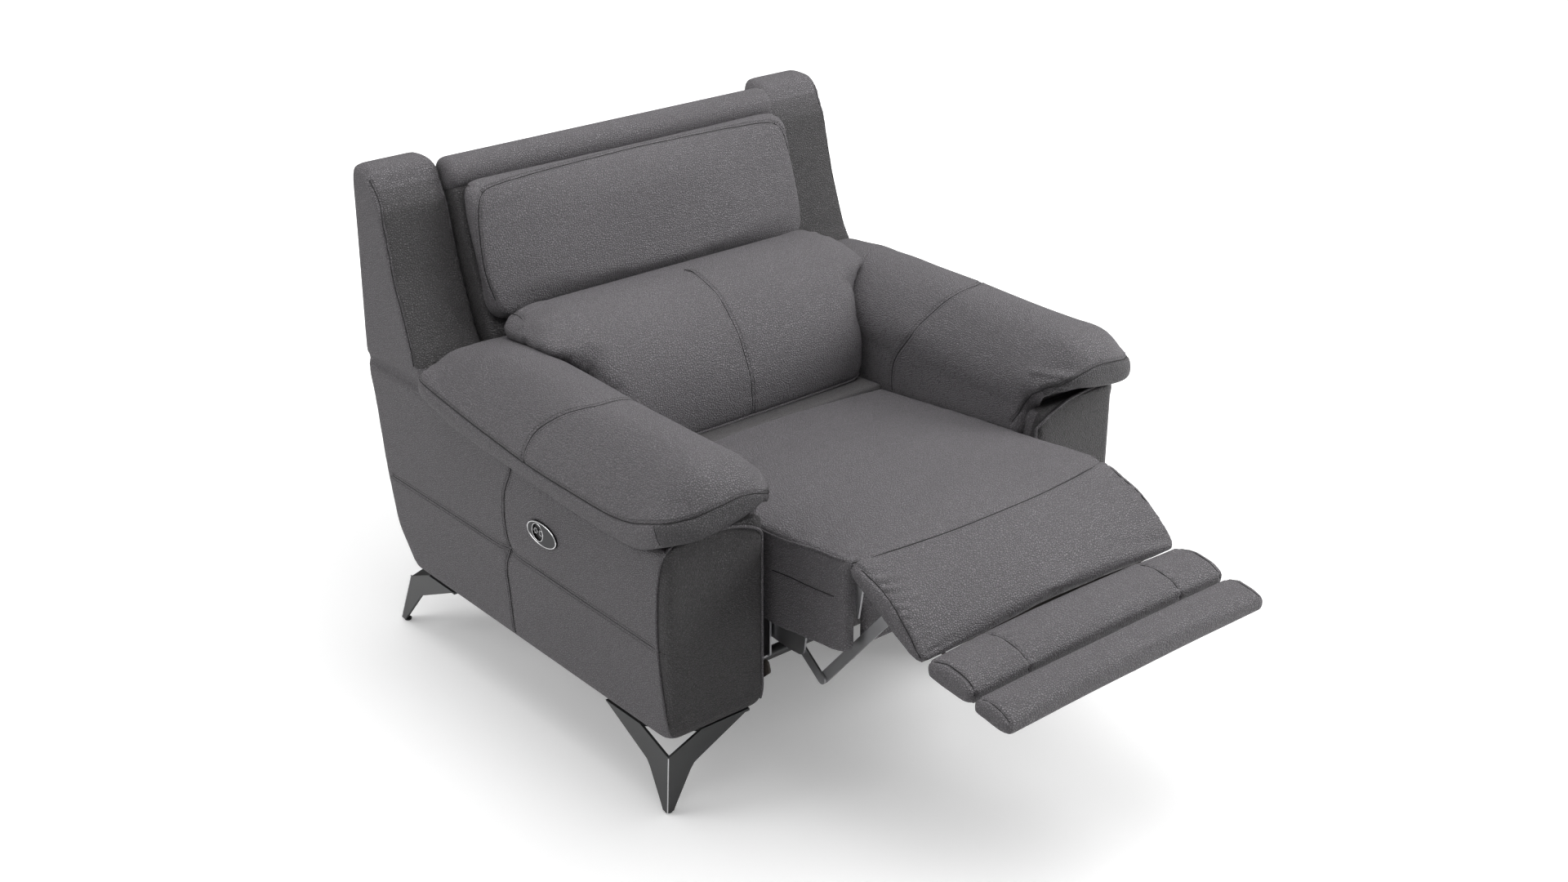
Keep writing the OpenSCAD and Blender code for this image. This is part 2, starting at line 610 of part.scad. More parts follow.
module end_board() color(timber) {
    plate(-seat_half + 22, 2 * seat_half - 44, rounded(end_outline([[9, 15.8, 1], [9, 15.8 - board_t, 1],
        [end_len - 24, 6.9 - board_t, 1], [end_len - 24, 6.9, 1]])));
    for (side = [-1, 1]) on_side(side)
        strap(strap_x + 16 + plate_t + plate_gap, [end_at(14, 14 - board_t / 2), end_hinge], false);
}

// Pair of short links that turn with the footrest, each with the elbow's pin.
module front_links() color(steel) for (side = [-1, 1]) on_side(side) {
    difference() {
        link(link_x, seat_pivot, elbow);
        bar(link_x - 1, link_x + plate_t + 1, seat_pivot, pin_r + pin_fit);
    }
    pivot_pin(elbow, lift_x, link_x);
}

// Pair of long links that lift the footrest and stay parallel to themselves.
module lift_links() color(steel) for (side = [-1, 1]) on_side(side) difference() {
    link(lift_x, elbow, lug);
    bar(lift_x - 1, lift_x + plate_t + 1, elbow, pin_r + pin_fit);
    bar(lift_x - 1, lift_x + plate_t + 1, lug, pin_r + open_pivot_gap);
}

// ---------- back ----------
rear_dir = unit(back_head - back_foot);
rear_in = [-rear_dir.y, rear_dir.x];
board_dir = unit(board_top - board_foot);
board_out = [-board_dir.y, board_dir.x];

// Points on the back's rear line and on the frame's front line, at height z and drawn forward by d.
function rear_at(z, d) = back_foot + rear_dir * (z - back_foot.y) / rear_dir.y + rear_in * d;
function front_at(z, d) = board_foot + board_dir * (z - board_foot.y) / board_dir.y + board_out * d;

// Timber frame of the back: two shaped side boards and four cross rails.
module back_frame() color(timber) {
    d = cover_t + seat_gap;
    top = roll_c.y - roll_r - seat_gap;
    for (side = [-1, 1]) on_side(side) plate(board_x, timber_t, rounded([[board_foot.x, board_foot.y, 8],
        [rear_at(446, d).x, 446, 8], [rear_at(top, d).x, top, 3], [rear_at(top, d).x - 33, top, 3],
        [850, 664, 20], [board_top.x, board_top.y, 20]]));
    for (at = [front_at(456, -1), front_at(456, -165), [828, 600], rear_at(top - 62, rail_w + 22)])
        plate(-board_x - 1, 2 * board_x + 2, [at, at + [rail_w, 0], at + [rail_w, 0] + rail_h * board_dir,
            at + rail_h * board_dir]);
}

// Elastic straps across the frame, behind the lumbar cushion.
module back_webbing() color(black) for (z = [462:45:630])
    plate(-board_x - timber_t + 2, 2 * (board_x + timber_t) - 4, [front_at(z, seat_gap), front_at(z, 2),
        front_at(z + 34, 2), front_at(z + 34, seat_gap)]);

module back_bracket(side) color(steel) on_side(side) difference() {
    plate(bracket_x, plate_t, rounded([[back_hinge.x - 16, back_hinge.y - 14, 14], [back_hinge.x + 16, back_hinge.y - 14, 14],
        [790, 470, 40], [812, 560, 10], [752, 560, 10], [690, 470, 40]]));
    bar(bracket_x - 1, bracket_x + plate_t + 1, back_hinge, back_pin_r + pin_fit);
}

// Rear cover: narrow between the arms and wide above them.
module rear_cover() color(leather_dark) {
    plate(-board_x - timber_t, 2 * (board_x + timber_t),
        [rear_at(450, cover_t), rear_at(450, 0), rear_at(wide_z + 1, 0), rear_at(wide_z + 1, cover_t)]);
    plate(-roll_w / 2, roll_w,
        [rear_at(wide_z, cover_t), rear_at(wide_z, 0), rear_at(908, 0), rear_at(908, cover_t)]);
}

module top_roll() color(leather) translate([-roll_w / 2, roll_c.x, roll_c.y]) rotate([90, 0, 90])
    rotate_extrude() polygon(concat([[0, 0]], [for (a = [-90:18:0]) [roll_r - 14 + 14 * cos(a), 14 + 14 * sin(a)]],
        [for (a = [0:18:90]) [roll_r - 14 + 14 * cos(a), roll_w - 14 + 14 * sin(a)]], [[0, roll_w]]));

// Front and rear lines of the lumbar cushion, as depth over height.
lumbar_z = [478, 724];
lumbar_front = [[lumbar_z[0], 457], [560, 462], [640, 500], [702, 560], [lumbar_z[1], 622]];
lumbar_rear = [[lumbar_z[0], front_at(lumbar_z[0], webbing_gap).x], [646, front_at(646, webbing_gap).x],
    [690, 719], [lumbar_z[1], 722]];
lumbar_outline = rounded([[457, 478, 12], [lumbar_rear[0][1], 478, 8], [lumbar_rear[1][1], 646, 20], [719, 690, 14],
    [722, 714, 10], [622, 724, 24], [560, 702, 40], [500, 640, 60], [462, 560, 50]], 2);

// Point q of the lumbar's outline when its underside is raised to z = sill.
function lifted(q, sill) =
    let (f = lookup(q.y, lumbar_front), t = (q.x - f) / (lookup(q.y, lumbar_rear) - f),
         z = sill + (q.y - lumbar_z[0]) * (lumbar_z[1] - sill) / (lumbar_z[1] - lumbar_z[0]), g = lookup(z, lumbar_front))
    [g + t * (lookup(z, lumbar_rear) - g - min(3, (sill - lumbar_z[0]) / 10)), z];

// Lumbar cushion: it fills the space between the arm pads and widens over their tops.
// Each station gives a distance from the middle, how far it is drawn in, and its underside.
module lumbar_cushion() color(leather) {
    side = [[head_w / 2, 14, 690], [head_w / 2 - 5, 5, 686], [head_w / 2 - 18, 0, 682], [seat_half + 12, 0, 653],
        [seat_half, 0, 600], [seat_half - 12, 0, 510], [seat_half - 28, 0, 478], [190, 0, 478], [95, 0, 478]];
    stations = concat([for (s = side) [-s[0], s[1], s[2]]], [[0, 0, 478]],
        [for (i = [len(side) - 1:-1:0]) side[i]]);
    loft([for (s = stations)
        let (swell = 8 * (1 - pow(s[0] / (head_w / 2), 2)))
        [for (q = lumbar_outline) let (r = lifted(q, s[2]), c = lifted([600, 601], s[2]),
                                       k = 1 - s[1] / 60)
            [s[0], c.x + (r.x - c.x) * k - swell * max(0, min(1, (c.x - r.x) / 60)), c.y + (r.y - c.y) * k]]]);
}

module headrest_mount() color(steel) for (side = [-1, 1]) on_side(side) {
    link(104, [830.4, 640.5], head_hinge, 18);
    bar(62, 105, head_hinge, pin_r);
}

// ---------- headrest ----------
module head_cushion() color(leather) cushion(rounded([[736, 706, 14], [842, 706, 14], [848, 925, 14],
    [845, 945, 12], [810, 925, 24], [770, 806, 200]]), -head_w / 2, head_w / 2, 25, 8, [-1, 0]);

// Plate under the head cushion with two knuckles on the hinge pins.
module headrest_hinge() color(steel) difference() {
    union() {
        translate([-130, 776, 706 - seat_gap - plate_t]) cube([260, 50, plate_t]);
        for (side = [-1, 1]) on_side(side) {
            bar(64, 102, head_hinge, pin_r + 4);
            translate([64, head_hinge.x - 4, head_hinge.y]) cube([38, 8, 11]);
        }
    }
    bar(-120, 120, head_hinge, pin_r + pin_fit);
}

// ---------- switch ----------
// Cup in the right arm with two guides for the buttons.
module switch_housing() color(black) on_side(-1) difference() {
    bar(arm_out - cup_depth, arm_out - 1, switch_cup, cup_r);
    for (i = [-1, 1]) bar(arm_out - cup_depth + 2, arm_out, switch_cup + [button_gap_y * i, 0], button_r + button_gap);
}

module switch_bezel() color(chrome) on_side(-1) difference() {
    plate(arm_out, 3, [for (a = [0:6:354]) switch_at + [bezel_len / 2 * cos(a), bezel_h / 2 * sin(a)]]);
    bar(arm_out - 1, arm_out + 4, switch_cup, cup_r + seat_gap);
}

// Push button with a domed face; i picks its guide.
module button(i) color(chrome) on_side(-1) translate([arm_out - cup_depth + 4.5, switch_cup.x + button_gap_y * i, switch_cup.y])
    rotate([0, 90, 0]) rotate_extrude() polygon([[0, 0], [button_r, 0], [button_r, 7], [button_r - 1, 8.4], [0, 9]]);

placed() arm(-1);  // arm_right
placed() arm(1);  // arm_left
placed() wing(-1);  // wing_right
placed() wing(1);  // wing_left
placed() arm_pad(-1);  // arm_pad_right
placed() arm_pad(1);  // arm_pad_left
placed() rear_panel();
placed() power_inlet();
placed() base_rail(-1);  // base_rail_right
placed() base_rail(1);  // base_rail_left
placed() cross_tubes();
placed() leg(-1, false);  // leg_front_right
placed() leg(1, false);  // leg_front_left
placed() leg(-1, true);  // leg_rear_right
placed() leg(1, true);  // leg_rear_left
placed() leg_screws();
placed() leg_glides();
placed() actuator_motor();
placed() actuator_rail();
placed() actuator_spindle();
placed() switch_bezel();
placed() switch_housing();
placed() button(1);  // button_open
placed() button(-1);  // button_close
placed() carriage(-1);  // carriage_right
placed() carriage(1);  // carriage_left
placed() glide_shoes();
placed() drive_tube();
placed() drive_block();
placed() seat_cushion();
placed() seat_springs();
placed() skirt_front();
placed() skirt(-1);  // skirt_right
placed() skirt(1);  // skirt_left
placed() seat_rear_rail();
placed() seat_plate(-1);  // seat_plate_right
placed() seat_plate(1);  // seat_plate_left
placed() footrest_lugs();
placed() footrest_pad();
placed() footrest_board();
placed() footrest_arm(-1);  // footrest_arm_right
placed() footrest_arm(1);  // footrest_arm_left
placed() mid_pad();
placed() mid_board();
placed() end_pad();
placed() end_board();
placed() front_links();
placed() lift_links();
placed() back_frame();
placed() back_webbing();
placed() back_bracket(-1);  // back_bracket_right
placed() back_bracket(1);  // back_bracket_left
placed() rear_cover();
placed() top_roll();
placed() lumbar_cushion();
placed() headrest_mount();
placed() head_cushion();
placed() headrest_hinge();
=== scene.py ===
# %% [markdown]
# A power recliner armchair in dark grey leather, with its footrest out. The CAD frame
# gives every hard part and the space that each soft part fills. This lesson dresses that
# frame: leather covers, seams, piping, stitching, painted steel, chrome and a plain studio.

# %% Load the frame
import bpy, bmesh, math, random
import numpy as np
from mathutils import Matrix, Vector
from mathutils.bvhtree import BVHTree


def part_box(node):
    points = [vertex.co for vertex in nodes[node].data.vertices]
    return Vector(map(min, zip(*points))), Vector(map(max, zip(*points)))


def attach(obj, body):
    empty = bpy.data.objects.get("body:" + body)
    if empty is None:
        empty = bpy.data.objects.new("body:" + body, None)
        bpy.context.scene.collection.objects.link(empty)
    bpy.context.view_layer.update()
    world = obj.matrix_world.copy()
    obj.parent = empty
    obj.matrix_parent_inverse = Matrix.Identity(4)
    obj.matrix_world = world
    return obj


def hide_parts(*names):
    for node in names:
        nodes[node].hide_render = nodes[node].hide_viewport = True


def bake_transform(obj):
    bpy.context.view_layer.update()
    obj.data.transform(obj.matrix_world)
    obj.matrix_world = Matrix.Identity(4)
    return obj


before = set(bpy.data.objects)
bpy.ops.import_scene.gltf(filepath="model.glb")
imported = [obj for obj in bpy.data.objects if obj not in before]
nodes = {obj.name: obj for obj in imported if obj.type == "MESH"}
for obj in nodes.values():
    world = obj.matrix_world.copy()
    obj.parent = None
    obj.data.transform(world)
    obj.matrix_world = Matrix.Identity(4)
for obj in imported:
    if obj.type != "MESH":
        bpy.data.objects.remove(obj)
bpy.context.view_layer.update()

# %% [markdown]
# Places are easier to read in millimetres behind the arms' front faces, which is how an
# upholsterer would measure the chair. The front plane follows from the right arm's box.

# %% Places in millimetres
ARM_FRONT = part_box("arm_right")[0].y
DOWN = Vector((0, 0, -1))


def mm(x, y, z):
    """Point measured in millimetres from the chair's middle, the arms' fronts and the floor."""
    return Vector((x / 1000, y / 1000 + ARM_FRONT, z / 1000))


def places(*points):
    return [mm(*p) for p in points]


def across(line):
    """The same line on the other side of the chair."""
    return [(-p[0], p[1], p[2]) for p in line]


def depth_at(y):
    """Scene depth of a place y millimetres behind the arms' fronts."""
    return mm(0, y, 0).y


def ramp(values, start, length):
    """Rises from 0 at start to 1 a length further on. A negative length runs the other way."""
    return np.clip((values - start) / length, 0, 1)


def link(obj):
    """Puts a new object in the scene."""
    bpy.context.scene.collection.objects.link(obj)
    return obj


print("arms' fronts at y =", round(ARM_FRONT, 4))

# %% [markdown]
# The camera stands to the right of the sitter and looks down on the chair. A lens of
# 47 mm keeps the perspective of a product picture: a shorter one would swell the footrest.

# %% Camera
camera = link(bpy.data.objects.new("camera", bpy.data.cameras.new("camera")))
bpy.context.scene.camera = camera
camera.location = (-2.3312, -2.6326, 2.1372)
camera.rotation_euler = (math.radians(90 - 24.828), 0, math.radians(-40.013))
camera.data.lens = 47.46
camera.data.sensor_width = 36
camera.data.clip_end = 100
print("camera at", [round(v, 2) for v in camera.location], "lens", round(camera.data.lens, 1))

# %% [markdown]
# The world lights the chair a little from everywhere, as a studio's pale walls do. To the
# camera alone it is plain white, so the background stays clean without lighting the chair.

# %% World
scene = bpy.context.scene
scene.view_settings.view_transform = "Standard"
world = bpy.data.worlds.new("studio")
scene.world = world
world.use_nodes = True
walls = world.node_tree
sky = walls.nodes["Background"]
backdrop = walls.nodes.new("ShaderNodeBackground")
for background, strength in ((sky, 0.30), (backdrop, 1.0)):
    background.inputs["Color"].default_value = (1, 1, 1, 1)
    background.inputs["Strength"].default_value = strength
seen = walls.nodes.new("ShaderNodeLightPath")
either = walls.nodes.new("ShaderNodeMixShader")
walls.links.new(seen.outputs["Is Camera Ray"], either.inputs["Fac"])
walls.links.new(sky.outputs["Background"], either.inputs[1])
walls.links.new(backdrop.outputs["Background"], either.inputs[2])
walls.links.new(either.outputs["Shader"], walls.nodes["World Output"].inputs["Surface"])
print("world light:", round(sky.inputs["Strength"].default_value, 2))

# %% [markdown]
# One broad lamp hangs above, so what faces up is light. A second stands to the sitter's
# left and reaches the cushions but not the near arm's front. A weak one opens the long
# side. Large lamps are used because their size makes the shadows soft.

# %% Lamps
def lamp(name, size, power, place, target):
    """Soft square lamp at place that points at target."""
    data = bpy.data.lights.new(name, "AREA")
    data.size, data.energy = size, power
    light = link(bpy.data.objects.new(name, data))
    light.location = place
    light.rotation_euler = (Vector(target) - Vector(place)).to_track_quat("-Z", "Y").to_euler()
    return light


lamps = [lamp("overhead", 3.0, 87, (-0.1, 0.1, 3.3), (0, 0, 0.3)),
         lamp("right", 1.8, 102, (2.7, -1.5, 2.3), (0, 0, 0.5)),
         lamp("side", 2.0, 40, (-3.3, 1.7, 2.2), (0, 0.2, 0.6))]
print("lamps:", [light.name for light in lamps])

# %% [markdown]
# Every new piece ends as a mesh object at the origin, with its place in its vertices.
# `finished` bakes the modifiers into the mesh, so nothing is left to be worked out later.

# %% Small tools
def finished(obj):
    """Replaces the object's mesh by what its modifiers make of it."""
    depsgraph = bpy.context.evaluated_depsgraph_get()
    mesh = bpy.data.meshes.new_from_object(obj.evaluated_get(depsgraph))
    obj.modifiers.clear()
    old, obj.data = obj.data, mesh
    if obj.type == "MESH" and old.users == 0:
        bpy.data.meshes.remove(old)
    return obj


def piece(name, bm, material, smooth=True):
    """Makes a mesh object from a bmesh."""
    mesh = bpy.data.meshes.new(name)
    bm.to_mesh(mesh)
    bm.free()
    mesh.materials.append(material)
    if smooth:
        mesh.shade_smooth()
    return link(bpy.data.objects.new(name, mesh))


def vertex_rows(obj, attribute):
    """One value of three numbers for each vertex, as an array of N rows."""
    rows = np.empty(len(obj.data.vertices) * 3, np.float32)
    obj.data.vertices.foreach_get(attribute, rows)
    return rows.reshape(-1, 3).astype(float)


def coordinates(obj):
    return vertex_rows(obj, "co")


def normals(obj):
    return vertex_rows(obj, "normal")


def set_coordinates(obj, co):
    obj.data.vertices.foreach_set("co", co.astype(np.float32).ravel())
    obj.data.update()


def surface(obj):
    """Search tree of the object's faces, for rays and nearest places."""
    return BVHTree.FromObject(obj, bpy.context.evaluated_depsgraph_get())

# %% [markdown]
# Finishes are made of nodes. These helpers make one group, math node, texture or mix of
# two colours in a line each. Textures read Object coordinates, so a pattern stays on its
# piece when the piece moves.

# %% Node helpers
def new_group(name, inputs, outputs):
    """Shader node group with named float inputs and outputs, and its two end nodes."""
    tree = bpy.data.node_groups.new(name, "ShaderNodeTree")
    for label, value in inputs.items():
        tree.interface.new_socket(label, in_out="INPUT", socket_type="NodeSocketFloat").default_value = value
    for label in outputs:
        tree.interface.new_socket(label, in_out="OUTPUT", socket_type="NodeSocketFloat")
    return tree, tree.nodes.new("NodeGroupInput").outputs, tree.nodes.new("NodeGroupOutput").inputs


def math_node(tree, operation, a, b):
    """Math node whose two inputs are sockets or numbers."""
    node = tree.nodes.new("ShaderNodeMath")
    node.operation = operation
    for socket, value in zip(node.inputs, (a, b)):
        if isinstance(value, (int, float)):
            socket.default_value = value
        else:
            tree.links.new(value, socket)
    return node.outputs[0]


def texture(tree, kind, scale, detail=2.0, **settings):
    """3D texture on Object coordinates, whose scale is a number or a socket."""
    place = tree.nodes.new("ShaderNodeTexCoord")
    node = tree.nodes.new(kind)
    for key, value in settings.items():
        setattr(node, key, value)
    tree.links.new(place.outputs["Object"], node.inputs["Vector"])
    if isinstance(scale, (int, float)):
        node.inputs["Scale"].default_value = scale
    else:
        tree.links.new(scale, node.inputs["Scale"])
    if "Detail" in node.inputs:
        node.inputs["Detail"].default_value = detail
    return node


def mixed_colour(tree, a, b, factor, blend="MIX"):
    """Mix node of two colours, each three numbers or a socket."""
    node = tree.nodes.new("ShaderNodeMix")
    node.data_type, node.blend_type = "RGBA", blend
    for label, colour in (("A", a), ("B", b)):
        if isinstance(colour, tuple):
            node.inputs[label].default_value = (*colour, 1)
        else:
            tree.links.new(colour, node.inputs[label])
    tree.links.new(factor, node.inputs["Factor"])
    return node.outputs["Result"]


def map_range(tree, value, start, end, low, high):
    """Map Range node that turns start..end into low..high."""
    node = tree.nodes.new("ShaderNodeMapRange")
    for label, number in zip(("From Min", "From Max", "To Min", "To Max"), (start, end, low, high)):
        node.inputs[label].default_value = number
    tree.links.new(value, node.inputs["Value"])
    return node.outputs["Result"]


def add_group(tree, group, **values):
    """Places a node group, sets its inputs and gives its outputs."""
    node = tree.nodes.new("ShaderNodeGroup")
    node.node_tree = group
    for label, value in values.items():
        node.inputs[label.replace("_", " ")].default_value = value
    return node.outputs

# %% [markdown]
# Leather is not one colour: its tone drifts over a hide, and paint, steel and timber drift
# too. A broad noise with a little fine noise in it gives a tone from 0 to 1. Every finish
# uses it, so it is a node group.

# %% Drift of tone
drift, given, result = new_group("drift", {"Scale": 3.0, "Spread": 0.5}, ["Tone"])
broad = texture(drift, "ShaderNodeTexNoise", given["Scale"], 3.0).outputs["Fac"]
fine = texture(drift, "ShaderNodeTexNoise", 55.0, 2.0).outputs["Fac"]
mixed = math_node(drift, "ADD", math_node(drift, "MULTIPLY", broad, 0.8),
                  math_node(drift, "MULTIPLY", fine, 0.2))
centred = math_node(drift, "SUBTRACT", mixed, 0.5)
tone = math_node(drift, "ADD", math_node(drift, "MULTIPLY", centred, given["Spread"]), 0.5)
drift.links.new(tone, result["Tone"])
print("node group:", drift.name)

# %% [markdown]
# Up close, leather is a net of small pebbles with creases between them. The distance to a
# Voronoi texture's cell edges is just that net. This group gives the pebbles' height and
# the creases' mask.

# %% Leather pebbles
pebble, given, result = new_group("pebble", {"Cells per metre": 420.0}, ["Height", "Crease"])
cells = texture(pebble, "ShaderNodeTexVoronoi", given["Cells per metre"], 0.0, feature="DISTANCE_TO_EDGE")
finer = math_node(pebble, "MULTIPLY", given["Cells per metre"], 2.3)
small = texture(pebble, "ShaderNodeTexVoronoi", finer, 0.0)
swell = math_node(pebble, "MINIMUM", math_node(pebble, "MULTIPLY", cells.outputs["Distance"], 4.0), 1.0)
grain = math_node(pebble, "SUBTRACT", swell, math_node(pebble, "MULTIPLY", small.outputs["Distance"], 0.35))
pebble.links.new(grain, result["Height"])
pebble.links.new(math_node(pebble, "SUBTRACT", 1.0, swell), result["Crease"])
print("node group:", pebble.name)

# %% [markdown]
# Each finish is a Principled BSDF of its own. `finish` mixes two tones by the drift and
# adds a bump, so that the leathers, the paint and the steel differ only in their values.

# %% Finish maker
CREASE_SHADE = (0.55, 0.55, 0.55)
ROUGHNESS_DRIFT = CREASE_ROUGHNESS = 0.12


def finish(name, dark, light, roughness, bump, metallic=0.0, tone_scale=3.0, spread=1.0, **sockets):
    """Material whose colour drifts from dark to light. bump(tree) gives a height, a depth in
    metres and a mask of creases or None."""
    material = bpy.data.materials.new(name)
    material.use_nodes = True
    tree = material.node_tree
    shader = tree.nodes["Principled BSDF"]
    shader.inputs["Metallic"].default_value = metallic
    for label, value in sockets.items():
        shader.inputs[label.replace("_", " ")].default_value = value
    tone = add_group(tree, drift, Scale=tone_scale, Spread=spread)["Tone"]
    base = mixed_colour(tree, dark, light, tone)
    swing = math_node(tree, "MULTIPLY", math_node(tree, "SUBTRACT", tone, 0.5), ROUGHNESS_DRIFT)
    rough = math_node(tree, "ADD", swing, roughness)
    height, depth, crease = bump(tree)
    node = tree.nodes.new("ShaderNodeBump")
    node.inputs["Strength"].default_value = 1.0
    node.inputs["Distance"].default_value = depth
    tree.links.new(height, node.inputs["Height"])
    tree.links.new(node.outputs["Normal"], shader.inputs["Normal"])
    if crease is not None:
        base = mixed_colour(tree, base, CREASE_SHADE, crease, "MULTIPLY")
        rough = math_node(tree, "ADD", rough, math_node(tree, "MULTIPLY", crease, CREASE_ROUGHNESS))
    tree.links.new(base, shader.inputs["Base Color"])
    tree.links.new(rough, shader.inputs["Roughness"])
    return material


def pebbled(cells_per_metre, depth):
    """Bump maker for grained leather."""
    def make(tree):
        out = add_group(tree, pebble, Cells_per_metre=cells_per_metre)
        return out["Height"], depth, out["Crease"]
    return make


def brushed(scale, depth):
    """Bump maker for the faint unevenness of cast, painted or rolled surfaces."""
    def make(tree):
        return texture(tree, "ShaderNodeTexNoise", scale, 3.0).outputs["Fac"], depth, None
    return make

# %% [markdown]
# The sides and the arm pads are each one closed skin, and their front parts get painted
# shade: a darker pair of tones stands for the shade on those faces. A border between faces
# would be ragged, so the material changes tone: a Float Curve holds the seam's depth at each
# height, and in front of it the second pair of tones takes over. It fades out towards the top,
# where light catches the rounded wing. The edge comes out as crisp as the seam.

# %% Painted shade in one finish
CURVE_SHIFT = 0.5
SHADE_FADE = (0.90, 0.972)


def shaded_in_front(material, line, dark, light):
    """Paints shade on a finish: a second, darker pair of tones in front of a line of (z, y) points, with a crisp
    edge.
    """
    tree = material.node_tree
    place = tree.nodes.new("ShaderNodeSeparateXYZ")
    tree.links.new(tree.nodes.new("ShaderNodeTexCoord").outputs["Object"], place.inputs["Vector"])
    edge = tree.nodes.new("ShaderNodeFloatCurve")
    curve = edge.mapping.curves[0]
    while len(curve.points) < len(line):
        curve.points.new(0.5, 0.5)
    for point, (z, y) in zip(curve.points, line):
        point.location, point.handle_type = (z, y + CURVE_SHIFT), "VECTOR"
    edge.mapping.update()
    tree.links.new(place.outputs["Z"], edge.inputs["Value"])
    depth = math_node(tree, "ADD", place.outputs["Y"], CURVE_SHIFT)
    ahead = math_node(tree, "LESS_THAN", depth, edge.outputs["Value"])
    # Painted shade mask: 1 in front of the seam, fading out towards the top, where light catches the rounded wing.
    mask = math_node(tree, "MULTIPLY", ahead, map_range(tree, place.outputs["Z"], *SHADE_FADE, 1.0, 0.0))
    colour = next(n for n in tree.nodes if n.bl_idname == "ShaderNodeMix" and n.blend_type == "MIX")
    for label, tone in (("A", dark), ("B", light)):
        plain = tuple(colour.inputs[label].default_value)[:3]
        tree.links.new(mixed_colour(tree, plain, tone, mask), colour.inputs[label])
    return material

# %% [markdown]
# These are the chair's finishes. The leather is dyed a grey with a slight violet cast and
# has a low sheen, and the linings are duller. Legs are painted gunmetal, links are
# zinc-plated, the switch is dark chrome, and timber is near black, as painted shade where it
# shows through gaps.

# %% Finishes of the chair
HIDE = ((0.142, 0.134, 0.143), (0.182, 0.173, 0.184))
# Painted shade: darker tones that stand for the shade on the arms' and wings' front faces.
SHADED_HIDE = ((0.062, 0.059, 0.061), (0.084, 0.080, 0.083))
# Painted shade: a darker tone that stands for the shade on the arm pads' noses.
SHADED_NOSE_HIDE = ((0.084, 0.080, 0.085), (0.108, 0.103, 0.109))


def main_leather(name):
    """The chair's leather. A skin that gets painted shade needs one under a name of its own."""
    return finish(name, *HIDE, 0.48, pebbled(250, 0.0014), Specular_IOR_Level=0.42)


leather = main_leather("leather")
# Painted shade: this darker leather stands for shade on the front faces and the back bolsters.
leather_front = finish("leather_front", *SHADED_HIDE, 0.46, pebbled(230, 0.0018), Specular_IOR_Level=0.45)
leather_back = finish("leather_back", (0.085, 0.081, 0.083), (0.108, 0.103, 0.105), 0.55, pebbled(320, 0.0008))
thread = finish("thread", (0.045, 0.043, 0.044), (0.07, 0.067, 0.069), 0.7, brushed(2500, 0.0001))
seam_shadow = finish("seam_shadow", (0.012, 0.011, 0.012), (0.02, 0.019, 0.02), 0.8, brushed(900, 0.0001))
painted = finish("painted_steel", (0.062, 0.063, 0.064), (0.085, 0.086, 0.087), 0.42, brushed(700, 0.00006),
                 metallic=0.65, tone_scale=9, Coat_Weight=0.15)
zinc = finish("zinc_steel", (0.30, 0.30, 0.31), (0.42, 0.42, 0.43), 0.38, brushed(300, 0.00008),
              metallic=0.9, tone_scale=14)
chrome = finish("chrome", (0.035, 0.035, 0.037), (0.07, 0.07, 0.072), 0.14, brushed(60, 0.00001),
                metallic=1.0, spread=0.2)
# Painted highlight: bright metal for the beads that stand for light on the switch's rims and the legs' folds.
highlight_metal = finish("painted_highlight", (0.70, 0.70, 0.71), (0.80, 0.80, 0.81), 0.25, brushed(200, 0.00002),
                  metallic=1.0)
plastic = finish("black_plastic", (0.012, 0.012, 0.013), (0.022, 0.022, 0.023), 0.45, brushed(1400, 0.00005))
webbing_cloth = finish("webbing_cloth", (0.02, 0.02, 0.022), (0.05, 0.05, 0.052), 0.9, brushed(800, 0.0004))
# Painted shade: near-black timber reads as shade where boards and rails show through gaps.
wood = finish("shade_dark_wood", (0.030, 0.025, 0.021), (0.060, 0.050, 0.042), 0.62, brushed(180, 0.0002),
              tone_scale=12)
print("finishes:", [material.name for material in bpy.data.materials])

# %% [markdown]
# The floor is a plain sheet of paper. To the camera alone it glows, a little beside the
# chair and more with the distance, so it fades into the white background and the chair's
# soft shadow stays on it.

# %% Floor
bm = bmesh.new()
bmesh.ops.create_grid(bm, x_segments=1, y_segments=1, size=30)
paper = bpy.data.materials.new("paper")
floor = piece("floor", bm, paper, smooth=False)
paper.use_nodes = True
sheet = paper.node_tree
plain = sheet.nodes["Principled BSDF"]
plain.inputs["Base Color"].default_value = (0.93, 0.93, 0.93, 1)
plain.inputs["Roughness"].default_value = 0.9
glow = sheet.nodes.new("ShaderNodeEmission")
path = sheet.nodes.new("ShaderNodeLightPath")
both = sheet.nodes.new("ShaderNodeAddShader")
away = sheet.nodes.new("ShaderNodeVectorMath")
away.operation = "LENGTH"
sheet.links.new(sheet.nodes.new("ShaderNodeTexCoord").outputs["Object"], away.inputs[0])
spread = map_range(sheet, away.outputs["Value"], 1.5, 3.0, 0.21, 0.95)
shown = math_node(sheet, "MULTIPLY", path.outputs["Is Camera Ray"], spread)
sheet.links.new(shown, glow.inputs["Strength"])
sheet.links.new(plain.outputs["BSDF"], both.inputs[0])
sheet.links.new(glow.outputs["Emission"], both.inputs[1])
sheet.links.new(both.outputs["Shader"], sheet.nodes["Material Output"].inputs["Surface"])
print("floor:", [round(v, 1) for v in floor.dimensions])

# %% [markdown]
# A soft part starts from a copy of its CAD solid. Voxel remeshing gives it even faces that
# a cloth solver and a seam can move, and smoothing takes the facets out. A cover may take
# several solids at once, where one piece of leather runs over all of them.

# %% Covers
VOXEL = 0.008


